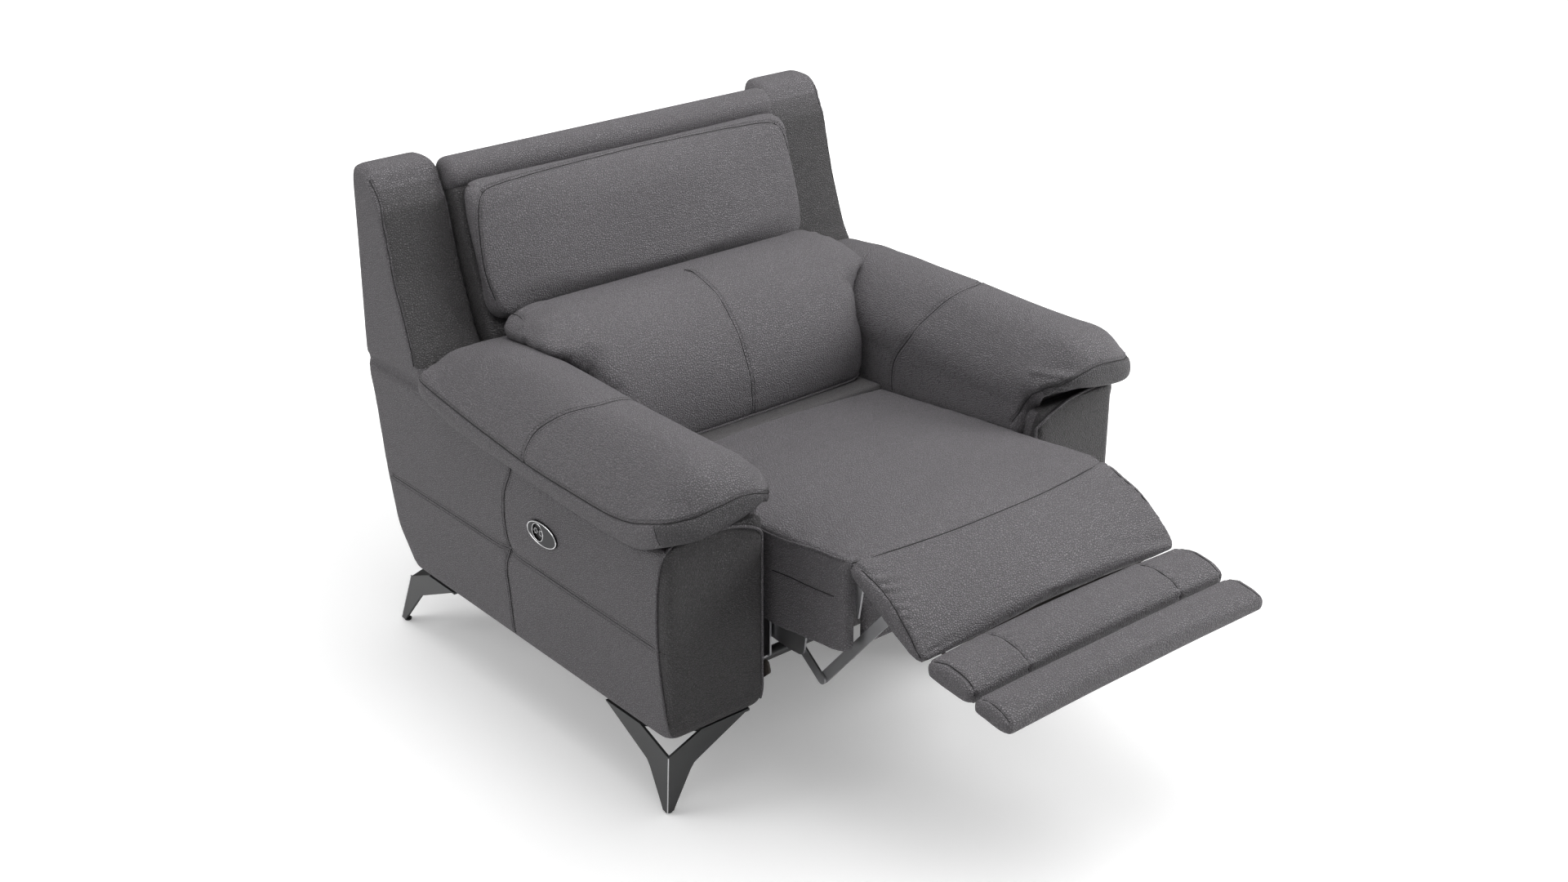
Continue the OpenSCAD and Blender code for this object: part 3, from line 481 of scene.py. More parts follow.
def remeshed(obj, voxel):
    """Replaces the mesh by a closed one with even faces."""
    remesh = obj.modifiers.new("remesh", "REMESH")
    remesh.mode, remesh.voxel_size = "VOXEL", voxel
    return finished(obj)


def smoothed(obj, iterations, factor=0.5):
    """Smooths the mesh without changing how its vertices join."""
    soften = obj.modifiers.new("soften", "SMOOTH")
    soften.factor, soften.iterations = factor, iterations
    return finished(obj)


def smooth_where(obj, iterations, share):
    """Smooths the mesh only where share, one value a vertex from 0 to 1, says so."""
    before = coordinates(obj)
    smoothed(obj, iterations)
    set_coordinates(obj, before + (coordinates(obj) - before) * share[:, None])


def cover(name, *solids, voxel=VOXEL, rounds=2, soft=2, grow=0.0, material=None):
    """One closed skin round copies of CAD solids. Each round smooths it and lays it back on the
    solids, then it is softened and grown."""
    bm = bmesh.new()
    for solid in solids:
        bm.from_mesh(nodes[solid].data)
    bmesh.ops.remove_doubles(bm, verts=bm.verts, dist=1e-5)
    solid_surface = BVHTree.FromBMesh(bm)
    obj = remeshed(piece(name, bm, material or leather), voxel)
    for k in range(rounds):
        smoothed(obj, 4)
        set_coordinates(obj, np.array([list(solid_surface.find_nearest(p)[0]) for p in coordinates(obj)]))
    smoothed(obj, soft)
    obj.data.materials.clear()
    obj.data.materials.append(material or leather)
    obj.data.shade_smooth()
    set_coordinates(obj, coordinates(obj) + normals(obj) * grow)
    return obj


def refine(obj):
    """Splits every face in four without moving the surface."""
    split = obj.modifiers.new("split", "SUBSURF")
    split.subdivision_type, split.levels, split.render_levels = "SIMPLE", 1, 1
    finished(obj)
    return smoothed(obj, 1)


def slab(name, outline, x0, x1, material, soft=3, voxel=VOXEL):
    """Soft body with an outline of (y, z) in millimetres that runs from x0 to x1."""
    bm = bmesh.new()
    ring = [bm.verts.new(mm(x0, y, z)) for y, z in outline]
    end = bmesh.ops.extrude_face_region(bm, geom=[bm.faces.new(ring)])["geom"]
    moved = [item for item in end if isinstance(item, bmesh.types.BMVert)]
    bmesh.ops.translate(bm, vec=((x1 - x0) / 1000, 0, 0), verts=moved)
    bmesh.ops.recalc_face_normals(bm, faces=bm.faces)
    obj = smoothed(remeshed(piece(name, bm, material), voxel), soft)
    obj.data.shade_smooth()
    return obj

# %% [markdown]
# A filled cushion bulges between the seams that hold it. The skin is pinned along its
# seams, and the cloth solver presses it outwards without gravity. How far a point may
# move is capped, so no cushion grows into its neighbour.

# %% Filling
CLOTH_FRAMES = 20
SEARCH_MARGIN = 0.12
FAR = 9.0
ROWS_AT_ONCE = 4000


def along(points, step=0.006):
    """Smooth line through points, as evenly spaced points."""
    points = [Vector(p) for p in points]
    ends = [2 * points[0] - points[1], *points, 2 * points[-1] - points[-2]]
    dense = []
    for a, b, c, d in zip(ends, ends[1:], ends[2:], ends[3:]):
        for i in range(12):
            t = i / 12
            dense.append(0.5 * (2 * b + (c - a) * t + (2 * a - 5 * b + 4 * c - d) * t * t
                                + (3 * b - a - 3 * c + d) * t ** 3))
    dense.append(points[-1])
    walked = [dense[0]]
    left = step
    for a, b in zip(dense, dense[1:]):
        length = (b - a).length
        while length > left:
            a = a + (b - a) * (left / length)
            walked.append(a)
            length = (b - a).length
            left = step
        left -= length
    return walked


def distance_to(co, line):
    """Distance of every vertex from a line of points, and which point is nearest."""
    line = np.array([list(p) for p in line])
    best = np.full(len(co), FAR)
    which = np.zeros(len(co), int)
    near = np.all((co > line.min(0) - SEARCH_MARGIN) & (co < line.max(0) + SEARCH_MARGIN), axis=1)
    index = np.nonzero(near)[0]
    for start in range(0, len(index), ROWS_AT_ONCE):
        part = index[start:start + ROWS_AT_ONCE]
        d = np.linalg.norm(co[part][:, None] - line[None], axis=2)
        which[part], best[part] = d.argmin(1), d.min(1)
    return best, which


def fill(obj, seams, cap, pressure=4.0, held=None):
    """Swells a cover between its seams with the cloth solver. held(co) marks more pinned points."""
    co = coordinates(obj)
    pinned = np.zeros(len(co), bool)
    for line in seams:
        pinned |= distance_to(co, along(line))[0] < VOXEL * 0.9
    if held is not None:
        pinned |= held(co)
    group = obj.vertex_groups.new(name="sewn")
    group.add([int(i) for i in np.nonzero(pinned)[0]], 1.0, "REPLACE")
    cloth = obj.modifiers.new("filling", "CLOTH")
    cloth.settings.vertex_group_mass = "sewn"
    cloth.settings.use_pressure = True
    cloth.settings.uniform_pressure_force = pressure
    cloth.settings.quality = 4
    cloth.settings.bending_stiffness = 1.5
    cloth.settings.effector_weights.gravity = 0
    cloth.collision_settings.use_collision = False
    cloth.point_cache.frame_end = CLOTH_FRAMES
    for frame_number in range(1, CLOTH_FRAMES + 1):
        scene.frame_set(frame_number)
    finished(obj)
    scene.frame_set(1)
    obj.vertex_groups.clear()
    moved = coordinates(obj) - co
    length = np.linalg.norm(moved, axis=1)
    scale = np.minimum(1, cap / np.maximum(length, 1e-9))
    set_coordinates(obj, co + moved * scale[:, None])
    print(f"{obj.name}: filled, moved {1000 * length.max():.0f} mm at most, capped at {1000 * cap:.0f}")
    return obj

# %% [markdown]
# A seam pulls the leather down into a narrow valley. Where leather is gathered into a seam
# or pressed by its neighbour, it puckers: short creases run away from the line. Both are
# small moves of vertices along their normals.

# %% Seams and creases
def laid(obj, line, lift=0.0, step=0.006):
    """Line through the points, laid on the surface. Gives places and normals."""
    tree = surface(obj)
    out = []
    for p in along(line, step):
        place, normal, _, _ = tree.find_nearest(p)
        out.append((place + normal * lift, normal))
    for k in range(4):
        out[1:-1] = [((a + 2 * b + c) / 4, (na + 2 * nb + nc).normalized())
                     for (a, na), (b, nb), (c, nc) in zip(out, out[1:], out[2:])]
    return out


def press(obj, lines, depth, width, ridge=0.35):
    """Valley along each line, with soft ridges beside it."""
    co, out = coordinates(obj), normals(obj)
    down = np.zeros(len(co))
    for line in lines:
        d, _ = distance_to(co, [p for p, _ in laid(obj, line, step=0.004)])
        valley = np.exp(-(d / width) ** 2)
        down = np.maximum(down, valley - ridge * np.exp(-((d - 2.4 * width) / (1.5 * width)) ** 2))
    set_coordinates(obj, co - out * (down * depth)[:, None])


def pucker(obj, line, count, reach, depth, width, seed, turn=0.0, both=True):
    """Short creases that run away from a line, at uneven places and lengths."""
    draw = random.Random(seed)
    path = laid(obj, line, step=0.004)
    co, out = coordinates(obj), normals(obj)
    shift = np.zeros(len(co))
    for k in range(count):
        i = min(len(path) - 2, max(1, int((k + draw.uniform(0.2, 0.8)) / count * len(path))))
        place, normal = path[i]
        tangent = (path[i + 1][0] - path[i - 1][0]).normalized()
        side = normal.cross(tangent).normalized() * (draw.choice((-1, 1)) if both else 1)
        way = (side + tangent * (turn + draw.uniform(-0.35, 0.35))).normalized()
        length = reach * draw.uniform(0.45, 1.0)
        deep = depth * draw.uniform(0.4, 1.0)
        near = np.nonzero(np.linalg.norm(co - np.array(place), axis=1) < length * 1.5)[0]
        rel = co[near] - np.array(place)
        t = rel @ np.array(way)
        off = np.linalg.norm(rel - np.outer(t, way), axis=1)
        fade = np.clip(t / length, 0, 1)
        profile = np.where((t > 0) & (t < length), (1 - fade) ** 1.2 * np.minimum(1, t / 0.010), 0)
        wide = width * (0.7 + 0.8 * fade)
        shift[near] += deep * profile * (np.exp(-(off / wide) ** 2)
                                         - 0.5 * np.exp(-((off - 2 * wide) / wide) ** 2))
    set_coordinates(obj, co - out * shift[:, None])

# %% [markdown]
# Threads, cords and seam lines are all thin round bars that follow a line. A curve with a
# bevel makes them, and it becomes a mesh before it joins the chair.

# %% Bars along lines
CORD_SUNK = 0.4


def bars(name, lines, radius, material, sides=1):
    """Round bars along lines of points, as one mesh."""
    curve = bpy.data.curves.new(name, "CURVE")
    curve.dimensions = "3D"
    curve.bevel_depth, curve.bevel_resolution, curve.use_fill_caps = radius, sides, True
    for line in lines:
        spline = curve.splines.new("POLY")
        spline.points.add(len(line) - 1)
        spline.points.foreach_set("co", [v for p in line for v in (*p, 1.0)])
    rail = link(bpy.data.objects.new(name + "_rail", curve))
    bpy.context.view_layer.update()
    mesh = bpy.data.meshes.new_from_object(rail.evaluated_get(bpy.context.evaluated_depsgraph_get()))
    bpy.data.objects.remove(rail)
    mesh.name = name
    mesh.materials.clear()
    mesh.materials.append(material)
    mesh.shade_smooth()
    return link(bpy.data.objects.new(name, mesh))


def seam_lines(name, obj, lines, radius=0.0009):
    """Dark line at the bottom of each seam."""
    return bars(name, [[p for p, _ in laid(obj, line, lift=0.0004)] for line in lines], radius, seam_shadow)


def stitches(name, obj, rows, pitch=0.0052, length=0.0034, radius=0.00055):
    """Rows of stitches. A row is (line, how far beside it)."""
    leather_surface = surface(obj)
    made = []
    for line, beside in rows:
        path = laid(obj, line, step=pitch)
        for (a, na), (b, nb) in zip(path, path[1:]):
            tangent = (b - a).normalized()
            aim = (a + b) / 2 + na.cross(tangent).normalized() * beside
            place, normal, _, _ = leather_surface.find_nearest(aim)
            half, sunk = tangent * (length / 2), normal * 0.0002
            made.append([place - half - sunk, place + normal * 0.0004, place + half - sunk])
    return bars(name, made, radius, thread, sides=0)


def welt(name, obj, lines, radius=0.0028):
    """Piping: a leather cord sewn into the seam, sunk by a share of its radius."""
    paths = [[p for p, _ in laid(obj, line, lift=radius * (1 - CORD_SUNK))] for line in lines]
    return bars(name, paths, radius, leather, sides=3)


def other_side(obj, name):
    """Mirrored copy for the sitter's left side."""
    bm = bmesh.new()
    bm.from_mesh(obj.data)
    bmesh.ops.scale(bm, vec=(-1, 1, 1), verts=bm.verts)
    bmesh.ops.reverse_faces(bm, faces=bm.faces)
    twin = piece(name, bm, obj.data.materials[0])
    for material in list(obj.data.materials)[1:]:
        twin.data.materials.append(material)
    return twin

# %% [markdown]
# The hard parts keep their CAD meshes and only get their finishes. Sheet steel and links
# are zinc-plated, legs and tubes are painted gunmetal, and boards and rails are timber in a
# near-black tone, painted shade so that nothing pale shows through the gaps.

# %% Hard parts
FINISHES = [
    (wood, "timber", "base_rail_right base_rail_left back_frame seat_rear_rail footrest_board mid_board end_board"),
    (painted, "leg_steel", "leg_front_right leg_front_left leg_rear_right leg_rear_left cross_tubes actuator_rail "
                           "drive_tube headrest_mount"),
    (zinc, "link_steel", "carriage_right carriage_left seat_plate_right seat_plate_left footrest_lugs "
                         "footrest_arm_right footrest_arm_left front_links lift_links back_bracket_right "
                         "back_bracket_left headrest_hinge seat_springs leg_screws actuator_spindle"),
    (chrome, "chrome", "switch_bezel button_open button_close"),
    (plastic, "black_plastic", "power_inlet actuator_motor switch_housing glide_shoes drive_block leg_glides"),
    (webbing_cloth, "webbing", "back_webbing"),
]
for material, slot, names in FINISHES:
    for name in names.split():
        nodes[name].data.materials.clear()
        nodes[name].data.materials.append(material)
print("hard parts finished:", sum(len(names.split()) for _, _, names in FINISHES))

# %% [markdown]
# A dressed piece belongs to one moving body, as it would be screwed or stapled to it. What
# sits on the sitter's right is made once and mirrored, because the chair is symmetrical.

# %% Dressing the bodies
def dress(obj, body, replaced=()):
    """Joins a piece to a body and hides the CAD solids it stands for."""
    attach(obj, body)
    if replaced:
        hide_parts(*replaced)
    return obj


def both_sides(obj, body, replaced=()):
    """Dresses a piece of the sitter's right side and its mirrored twin on the left."""
    twin = other_side(obj, obj.name.replace("right", "left"))
    dress(obj, body, replaced)
    dress(twin, body, [name.replace("right", "left") for name in replaced])

# %% [markdown]
# Each side is one large outer panel that runs from the arm into the wing, over a plywood
# box. A level seam crosses it, a bent seam rises through it, and another one closes the
# wing's front. Each seam is a line of places that the later cells sew along.

# %% Sides
side = refine(cover("side_right", "arm_right", "wing_right", voxel=0.009))
level_seam = places((-550, 905, 352), (-550, 891, 351), (-550, 700, 352), (-550, 489, 352), (-550, 238, 348),
                    (-550, 31, 346), (-550, 12, 346))
rising_seam = places((-550, 465, 535), (-550, 465, 521), (-550, 486, 482), (-550, 494, 455), (-550, 496, 414),
                     (-550, 492, 387), (-550, 489, 352))
falling_seam = places((-550, 489, 352), (-550, 498, 307), (-550, 492, 260), (-550, 485, 191), (-550, 483, 180))
wing_seam = places((-547, 902, 962), (-543, 890, 945), (-541, 876, 918), (-547, 864, 884), (-547, 852, 833),
                   (-548, 838, 775), (-548, 817, 718), (-550, 794, 654), (-550, 787, 624))
outer_edge = places((-545, 8, 541), (-549, 17, 513), (-550, 27, 450), (-550, 29, 351), (-550, 19, 262),
                    (-546, 11, 194))
top_edge = places((-545, 8, 541), (-489, 6, 548), (-419, 0, 549), (-360, 0, 530), (-339, 9, 505))
inner_edge = places((-339, 9, 505), (-340, 6, 420), (-342, 4, 300), (-343, 6, 181))
print("side faces:", len(side.data.polygons))

# %% [markdown]
# Leather that is stretched over a box gathers where it is sewn. The creases are short and
# shallow along the plain seams and closer together under the arm pad, where the leather is
# tucked in. Where the three side seams meet, a tack pulls a dimple.

# %% Creases of the sides
for seed, (line, count, reach, depth, width) in enumerate((
        (level_seam, 18, 0.04, 0.0012, 0.005), (rising_seam, 8, 0.04, 0.0012, 0.005),
        (falling_seam, 8, 0.04, 0.0012, 0.005), (wing_seam, 16, 0.03, 0.0012, 0.004),
        (top_edge, 14, 0.05, 0.0025, 0.005)), start=1):
    pucker(side, line, count, reach, depth, width, seed=seed)
tuck = places((-550, 60, 530), (-550, 200, 527), (-550, 377, 534), (-550, 556, 551), (-550, 715, 577))
pucker(side, tuck, 66, 0.034, 0.0034, 0.0036, seed=6, both=False)
press(side, [level_seam], 0.0012, 0.0040)
press(side, [rising_seam, falling_seam], 0.0022, 0.0045)
press(side, [wing_seam], 0.0020, 0.0045)
DIMPLE_DEPTH, DIMPLE_RADIUS = 0.006, 0.018
knot = np.array(mm(-550, 489, 352))
co = coordinates(side)
dimple = DIMPLE_DEPTH * np.exp(-(np.linalg.norm(co - knot, axis=1) / DIMPLE_RADIUS) ** 2)
set_coordinates(side, co - normals(side) * dimple[:, None])
print("side box:", [round(v, 3) for v in side.dimensions])

# %% [markdown]
# The arm's front panel and the wing's front face get painted shade, a darker tone. Thread runs
# beside the seams in double rows and piping edges the front panel. The right side is made and
# then mirrored, and only the right one gets the pocket behind the switch.

# %% Leather, seams and piping of the sides
POCKET_RADIUS = 0.021
front_seam = sorted((p.z, p.y) for p in outer_edge) + sorted((p.z, p.y) for p in wing_seam)
# Painted shade in front of the front seams of arm and wing.
side.data.materials[0] = shaded_in_front(main_leather("leather_sides"),
                                   [(0, ARM_FRONT), *front_seam, (1, depth_at(902))], *SHADED_HIDE)
both_sides(seam_lines("side_seams_right", side, [rising_seam, falling_seam, wing_seam]), "base")
both_sides(seam_lines("side_level_seam_right", side, [level_seam], radius=0.0004), "base")
side_rows = [(line, beside) for line in (level_seam, rising_seam, falling_seam) for beside in (0.006, -0.006)]
both_sides(stitches("side_stitches_right", side, [*side_rows, (wing_seam, 0.005)]), "base")
both_sides(welt("side_piping_right", side, [outer_edge, top_edge, inner_edge]), "base")
both_sides(side, "base", ["arm_right", "wing_right"])
co = coordinates(side)
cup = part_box("switch_housing")
off = np.hypot(co[:, 1] - (cup[0].y + cup[1].y) / 2, co[:, 2] - (cup[0].z + cup[1].z) / 2)
in_pocket = (off < POCKET_RADIUS) & (co[:, 0] < -0.52)
co[in_pocket, 0] = cup[1].x + 0.003
set_coordinates(side, co)
print("places moved into the pocket:", int(in_pocket.sum()))

# %% [markdown]
# The arm pads are the softest part of the chair: loose pillows sewn to the arms. Their
# noses are narrower and thinner than the rest, lift off the arm toward the seat and are
# rounded at the inner end.

# %% Arm pads
PAD_MIDDLE, PAD_WIDTH, PAD_HALF = -0.447, 0.255, 0.128
NOSE_HEIGHT, TIP_HEIGHT = 0.602, 0.592
pad = cover("pad_right", "arm_pad_right", soft=22, grow=0.004)
co = coordinates(pad)
ahead = ramp(co[:, 1], depth_at(35), -0.09) ** 2
beside = co[:, 0] - PAD_MIDDLE
co[:, 0] -= beside * np.where(beside > 0, 0.06, 0.22) * ahead
co[:, 2] -= (co[:, 2] - NOSE_HEIGHT) * ahead * (0.15 + 0.25 * np.minimum(1, np.abs(beside) / PAD_HALF) ** 2)
front = ramp(co[:, 1], depth_at(55), -0.08)
front = front ** 2 * (3 - 2 * front)
inner = np.clip(beside / PAD_WIDTH + 0.5, 0, 1)
under = 1 - ramp(co[:, 2], 0.530, 0.10)
co[:, 2] += front * under * (0.010 + 0.060 * inner ** 1.5)
tip = front * ramp(beside, 0.055, 0.065)
co[:, 1] += front * 0.034 * ramp(beside, 0.010, 0.118) ** 2.2
roundness = ((co[:, 2] - TIP_HEIGHT) / 0.042) ** 2
co[:, 0] -= tip * 0.026 * np.clip(roundness, 0, np.where(co[:, 2] > TIP_HEIGHT, 0.3, 1.6))
set_coordinates(pad, co)
print("pad box:", [round(v, 3) for v in pad.dimensions])

# %% [markdown]
# A band runs round the pad's edge, and a double-stitched seam crosses its top. Between
# them the filling lifts the leather, and at the seams it puckers. The underside is held,
# because it is sewn to the arm.

# %% Seams and filling of the arm pads
SEWN_BELOW = 0.555
band_seam = places((-574, 737, 623), (-573, 650, 608), (-574, 556, 597), (-575, 452, 587), (-575, 377, 580),
                   (-575, 304, 577), (-575, 164, 575), (-574, 119, 576), (-573, 76, 581), (-571, 35, 592),
                   (-560, -15, 609), (-532, -41, 619), (-507, -51, 624), (-469, -54, 629), (-428, -54, 632),
                   (-375, -50, 620), (-345, -38, 606), (-330, -22, 598), (-324, 7, 576), (-323, 32, 545),
                   (-321, 57, 507))
band_joint = places((-570, 4, 601), (-574, -8, 580), (-570, -10, 560))
cross_seam = places((-575, 377, 580), (-564, 383, 601), (-552, 384, 616), (-538, 378, 633), (-525, 360, 650),
                    (-511, 343, 664), (-492, 322, 674), (-470, 303, 680), (-440, 298, 682), (-406, 300, 677),
                    (-379, 312, 661), (-347, 328, 629), (-325, 345, 595), (-324, 374, 555), (-323, 388, 528),
                    (-322, 393, 495), (-321, 389, 465))
fill(pad, [band_seam, cross_seam], cap=0.009, pressure=3.0, held=lambda co: co[:, 2] < SEWN_BELOW)
refine(pad)
pucker(pad, band_seam, 40, 0.04, 0.0016, 0.0045, seed=11)
pucker(pad, cross_seam, 18, 0.03, 0.0012, 0.0045, seed=12)
press(pad, [band_seam], 0.0022, 0.0045)
press(pad, [cross_seam], 0.0022, 0.0045)
press(pad, [band_joint], 0.0015, 0.004)
both_sides(seam_lines("arm_pad_seams_right", pad, [band_seam, cross_seam, band_joint]), "base")
pad_rows = [(band_seam, 0.006), (cross_seam, 0.007), (cross_seam, -0.007)]
both_sides(stitches("arm_pad_stitches_right", pad, pad_rows), "base")
print("pad faces:", len(pad.data.polygons))

# %% [markdown]
# The pad's nose, in front of the band's seam, gets painted shade too, a darker tone, though
# not as dark as the arm's front panel. The line of the change follows the seam.

# %% Leather of the arm pads
nose_seam = [(z, depth_at(y)) for z, y in ((0.560, -10), (0.580, -8), (0.600, 4), (0.609, -15), (0.619, -41),
                                           (0.629, -54), (0.650, -75))]
nose_seam = [(0, nose_seam[0][1]), *nose_seam, (1, nose_seam[-1][1])]
# Painted shade on the pad's nose, in front of the band's seam.
pad.data.materials[0] = shaded_in_front(main_leather("leather_pads"), nose_seam, *SHADED_NOSE_HIDE)
both_sides(pad, "base", ["arm_pad_right"])
print("arm pads dressed, nose seam places:", len(nose_seam))

# %% [markdown]
# The seat is a thick foam block on springs. Its leather falls straight down over stiff
# skirt boards, which hide the mechanism, and a piped edge marks where it turns. One skin
# covers the cushion and its boards, and only the cushion's top is free to swell.

# %% Seat
seat = cover("seat", "seat_cushion", "skirt_right", "skirt_left", "skirt_front", soft=3)
seat_edge = places((-312, 150, 488), (-312, 12, 495), (-312, -26, 499), (-312, -70, 507), (-312, -113, 514),
                   (-312, -148, 517), (-306, -176, 519))
skirt_seam = places((-312, 12, 425), (-312, -35, 431), (-312, -81, 434), (-312, -117, 438), (-310, -150, 442))
fill(seat, [seat_edge, across(seat_edge)], cap=0.010,
     held=lambda co: (co[:, 2] < 0.49) | (np.abs(co[:, 0]) > 0.309))
refine(seat)
for k, line in enumerate((seat_edge, across(seat_edge))):
    pucker(seat, line, 10, 0.04, 0.0014, 0.005, seed=21 + k)
press(seat, [skirt_seam, across(skirt_seam)], 0.0015, 0.0045)
dress(seam_lines("skirt_seams", seat, [skirt_seam, across(skirt_seam)]), "seat")
dress(welt("seat_piping", seat, [seat_edge, across(seat_edge)], radius=0.0020), "seat")
dress(seat, "seat", ["seat_cushion", "skirt_right", "skirt_left", "skirt_front"])

print("seat box:", [round(v, 3) for v in seat.dimensions])

# %% [markdown]
# At the rear a leather tongue runs under the back pillow, so no gap shows between them.
# Behind the front skirt hangs a curtain of lining, which keeps dust and stray hands out of
# the mechanism.

# %% Seat tongue and dust curtain
tongue = slab("seat_tongue", [(405, 440), (405, 480), (450, 477), (560, 470), (640, 462), (640, 446), (560, 452)],
              -306, 306, leather_back)
curtain = slab("seat_dust_cover", [(-64, 298), (-64, 452), (-58, 452), (-58, 298)], -262, 262, leather_back,
               soft=1, voxel=0.004)
dress(curtain, "seat")
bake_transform(tongue)
print("linings:", tongue.name, curtain.name)

# %% [markdown]
# The lower backrest is a pillow whose shoulders rest on the arm pads. Where its underside
# hangs over a pad, it sinks until it lies on it, and above the pad its top rounds off
# towards the wings. Rays cast down on the pad find how high it is at each place.

# %% Lumbar pillow
SHOULDER, PAD_EDGE, PAD_GAP = 0.29, 0.300, 0.001
lumbar = cover("lumbar", "lumbar_cushion", soft=14, grow=0.005)
pad_top = surface(pad)
co, out = coordinates(lumbar), normals(lumbar)
outward = ramp(np.abs(co[:, 0]), SHOULDER, 0.11)
co[:, 0] += np.sign(co[:, 0]) * 0.004 * outward
for i in np.nonzero(outward > 0)[0]:
    x, y, z = co[i]
    hit = pad_top.ray_cast(Vector((-abs(x), y, 0.80)), DOWN, 0.40)[0]
    if hit is None:
        continue
    if out[i, 2] >= -0.2:
        co[i, 2] = hit.z + max(0.0, z - hit.z) * math.sqrt(1 - 0.97 * outward[i] ** 2.5)
    elif abs(x) > PAD_EDGE:
        co[i, 2] = min(z, z + (hit.z - PAD_GAP - z) * min(1.0, (abs(x) - PAD_EDGE) / 0.016))
set_coordinates(lumbar, co)
smooth_where(lumbar, 5, ramp(np.abs(co[:, 0]), 0.27, 0.05))
print("lumbar box:", [round(v, 3) for v in lumbar.dimensions])

# %% [markdown]
# A double-stitched seam runs down the pillow's middle and a border seam round each
# shoulder, where the leather is gathered into long creases. A piped hem ends it below.

# %% Seams and filling of the lumbar pillow
middle = places((0, 652, 745), (0, 617, 722), (0, 577, 709), (0, 550, 697), (0, 528, 676), (0, 503, 651),
                (0, 484, 624), (0, 471, 595), (0, 457, 567), (0, 452, 535), (0, 453, 482))
border = places((-372, 712, 716), (-368, 690, 704), (-362, 660, 690), (-352, 630, 672), (-338, 600, 650))
hem = places((-300, 456, 481), (-150, 455, 481), (0, 455, 481), (150, 455, 481), (300, 456, 481))
fill(lumbar, [middle, border, across(border), hem], cap=0.014, held=lambda co: co[:, 1] > ARM_FRONT + 0.70)
smoothed(lumbar, 3)
refine(lumbar)
pucker(lumbar, middle, 22, 0.035, 0.0012, 0.0045, seed=31)
for k, line in enumerate((border, across(border))):
    pucker(lumbar, line, 12, 0.10, 0.005, 0.006, seed=32 + k)
press(lumbar, [middle, border, across(border)], 0.0025, 0.0045)
dress(seam_lines("lumbar_seam", lumbar, [middle, border, across(border)]), "back")
dress(stitches("lumbar_stitches", lumbar, [(middle, 0.007), (middle, -0.007), (border, 0.006),
                                           (across(border), -0.006)]), "back")
dress(welt("lumbar_piping", lumbar, [hem]), "back")
dress(lumbar, "back", ["lumbar_cushion"])
print("lumbar faces:", len(lumbar.data.polygons))

# %% [markdown]
# The headrest is a boxed cushion. Its lower front sags over the pillow below, and it is
# sewn to the back there.

# %% Headrest
HEAD_HALF = 0.3955
head = cover("head", "head_cushion", soft=10, grow=0.005)
co = coordinates(head)
low = ramp(co[:, 2], mm(0, 0, 830).z, -0.12) ** 1.5 * (1 - ramp(co[:, 1], depth_at(785), 0.04))
set_coordinates(head, co + np.outer(low, mm(0, -8, -26) - mm(0, 0, 0)))
print("head box:", [round(v, 3) for v in head.dimensions])

# %% [markdown]
# The seam along the top is sewn in one go with the two that run down the sides, and a
# short mitre closes each upper corner. The rear is held, because it lies on a board.

# %% Seams and filling of the headrest
half_top = [(12, 822, 936), (-110, 820, 935), (-225, 818, 933), (-299, 816, 930), (-335, 814, 928),
            (-360, 810, 923), (-375, 802, 901), (-384, 792, 867), (-389, 783, 824), (-389, 773, 779),
            (-388, 762, 750), (-384, 752, 728)]
top_seam = places(*half_top[::-1], *[(-x, y, z) for x, y, z in half_top[1:]])
mitre = places((-360, 810, 923), (-378, 835, 934), (-388, 850, 938))
fill(head, [top_seam, mitre, across(mitre)], cap=0.014, held=lambda co: co[:, 1] > ARM_FRONT + 0.86)
smoothed(head, 14)
refine(head)
pucker(head, top_seam, 36, 0.03, 0.0012, 0.0045, seed=41)
press(head, [top_seam], 0.0032, 0.0050)
press(head, [mitre, across(mitre)], 0.0020, 0.005)
co = coordinates(head)
co[:, 0] = np.clip(co[:, 0], -HEAD_HALF, HEAD_HALF)
set_coordinates(head, co)
head_seam = seam_lines("head_seam", head, [top_seam, mitre, across(mitre)])
head_stitches = stitches("head_stitches", head, [(top_seam, 0.006), (top_seam, -0.006)])
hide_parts("head_cushion")
for obj in (head, head_seam, head_stitches):
    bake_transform(obj)
print("head faces:", len(head.data.polygons))

# %% [markdown]
# Behind the cushions, a roll closes the top of the back between the wings. Bolsters fill
# the space beside the frame and a lining hides it when the headrest tilts forward.

# %% Back covers
roll = refine(cover("top_roll_cover", "top_roll"))
set_coordinates(roll, coordinates(roll) * (1.075, 1, 1) + normals(roll) * (0, 0.004, 0.003))
dress(roll, "back", ["top_roll"])
bolster_outline = [(752, 598), (752, 655), (772, 690), (856, 925), (915, 925), (868, 676), (868, 598)]
# The bolsters take the leather with painted shade.
bolster = slab("back_bolster_right", bolster_outline, -395, -314, leather_front, soft=4)
for obj in (bolster, other_side(bolster, "back_bolster_left")):
    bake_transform(obj)
lining = slab("back_lining", [(852, 712), (868, 925), (878, 925), (862, 712)], -316, 316, leather_back,
              soft=1, voxel=0.005)
dress(lining, "back")
print("roll faces:", len(roll.data.polygons))

# %% [markdown]
# A plain lining wraps the back's frame behind and widens at its edges to meet the sides,
# and a flat panel shuts the chair's rear below.

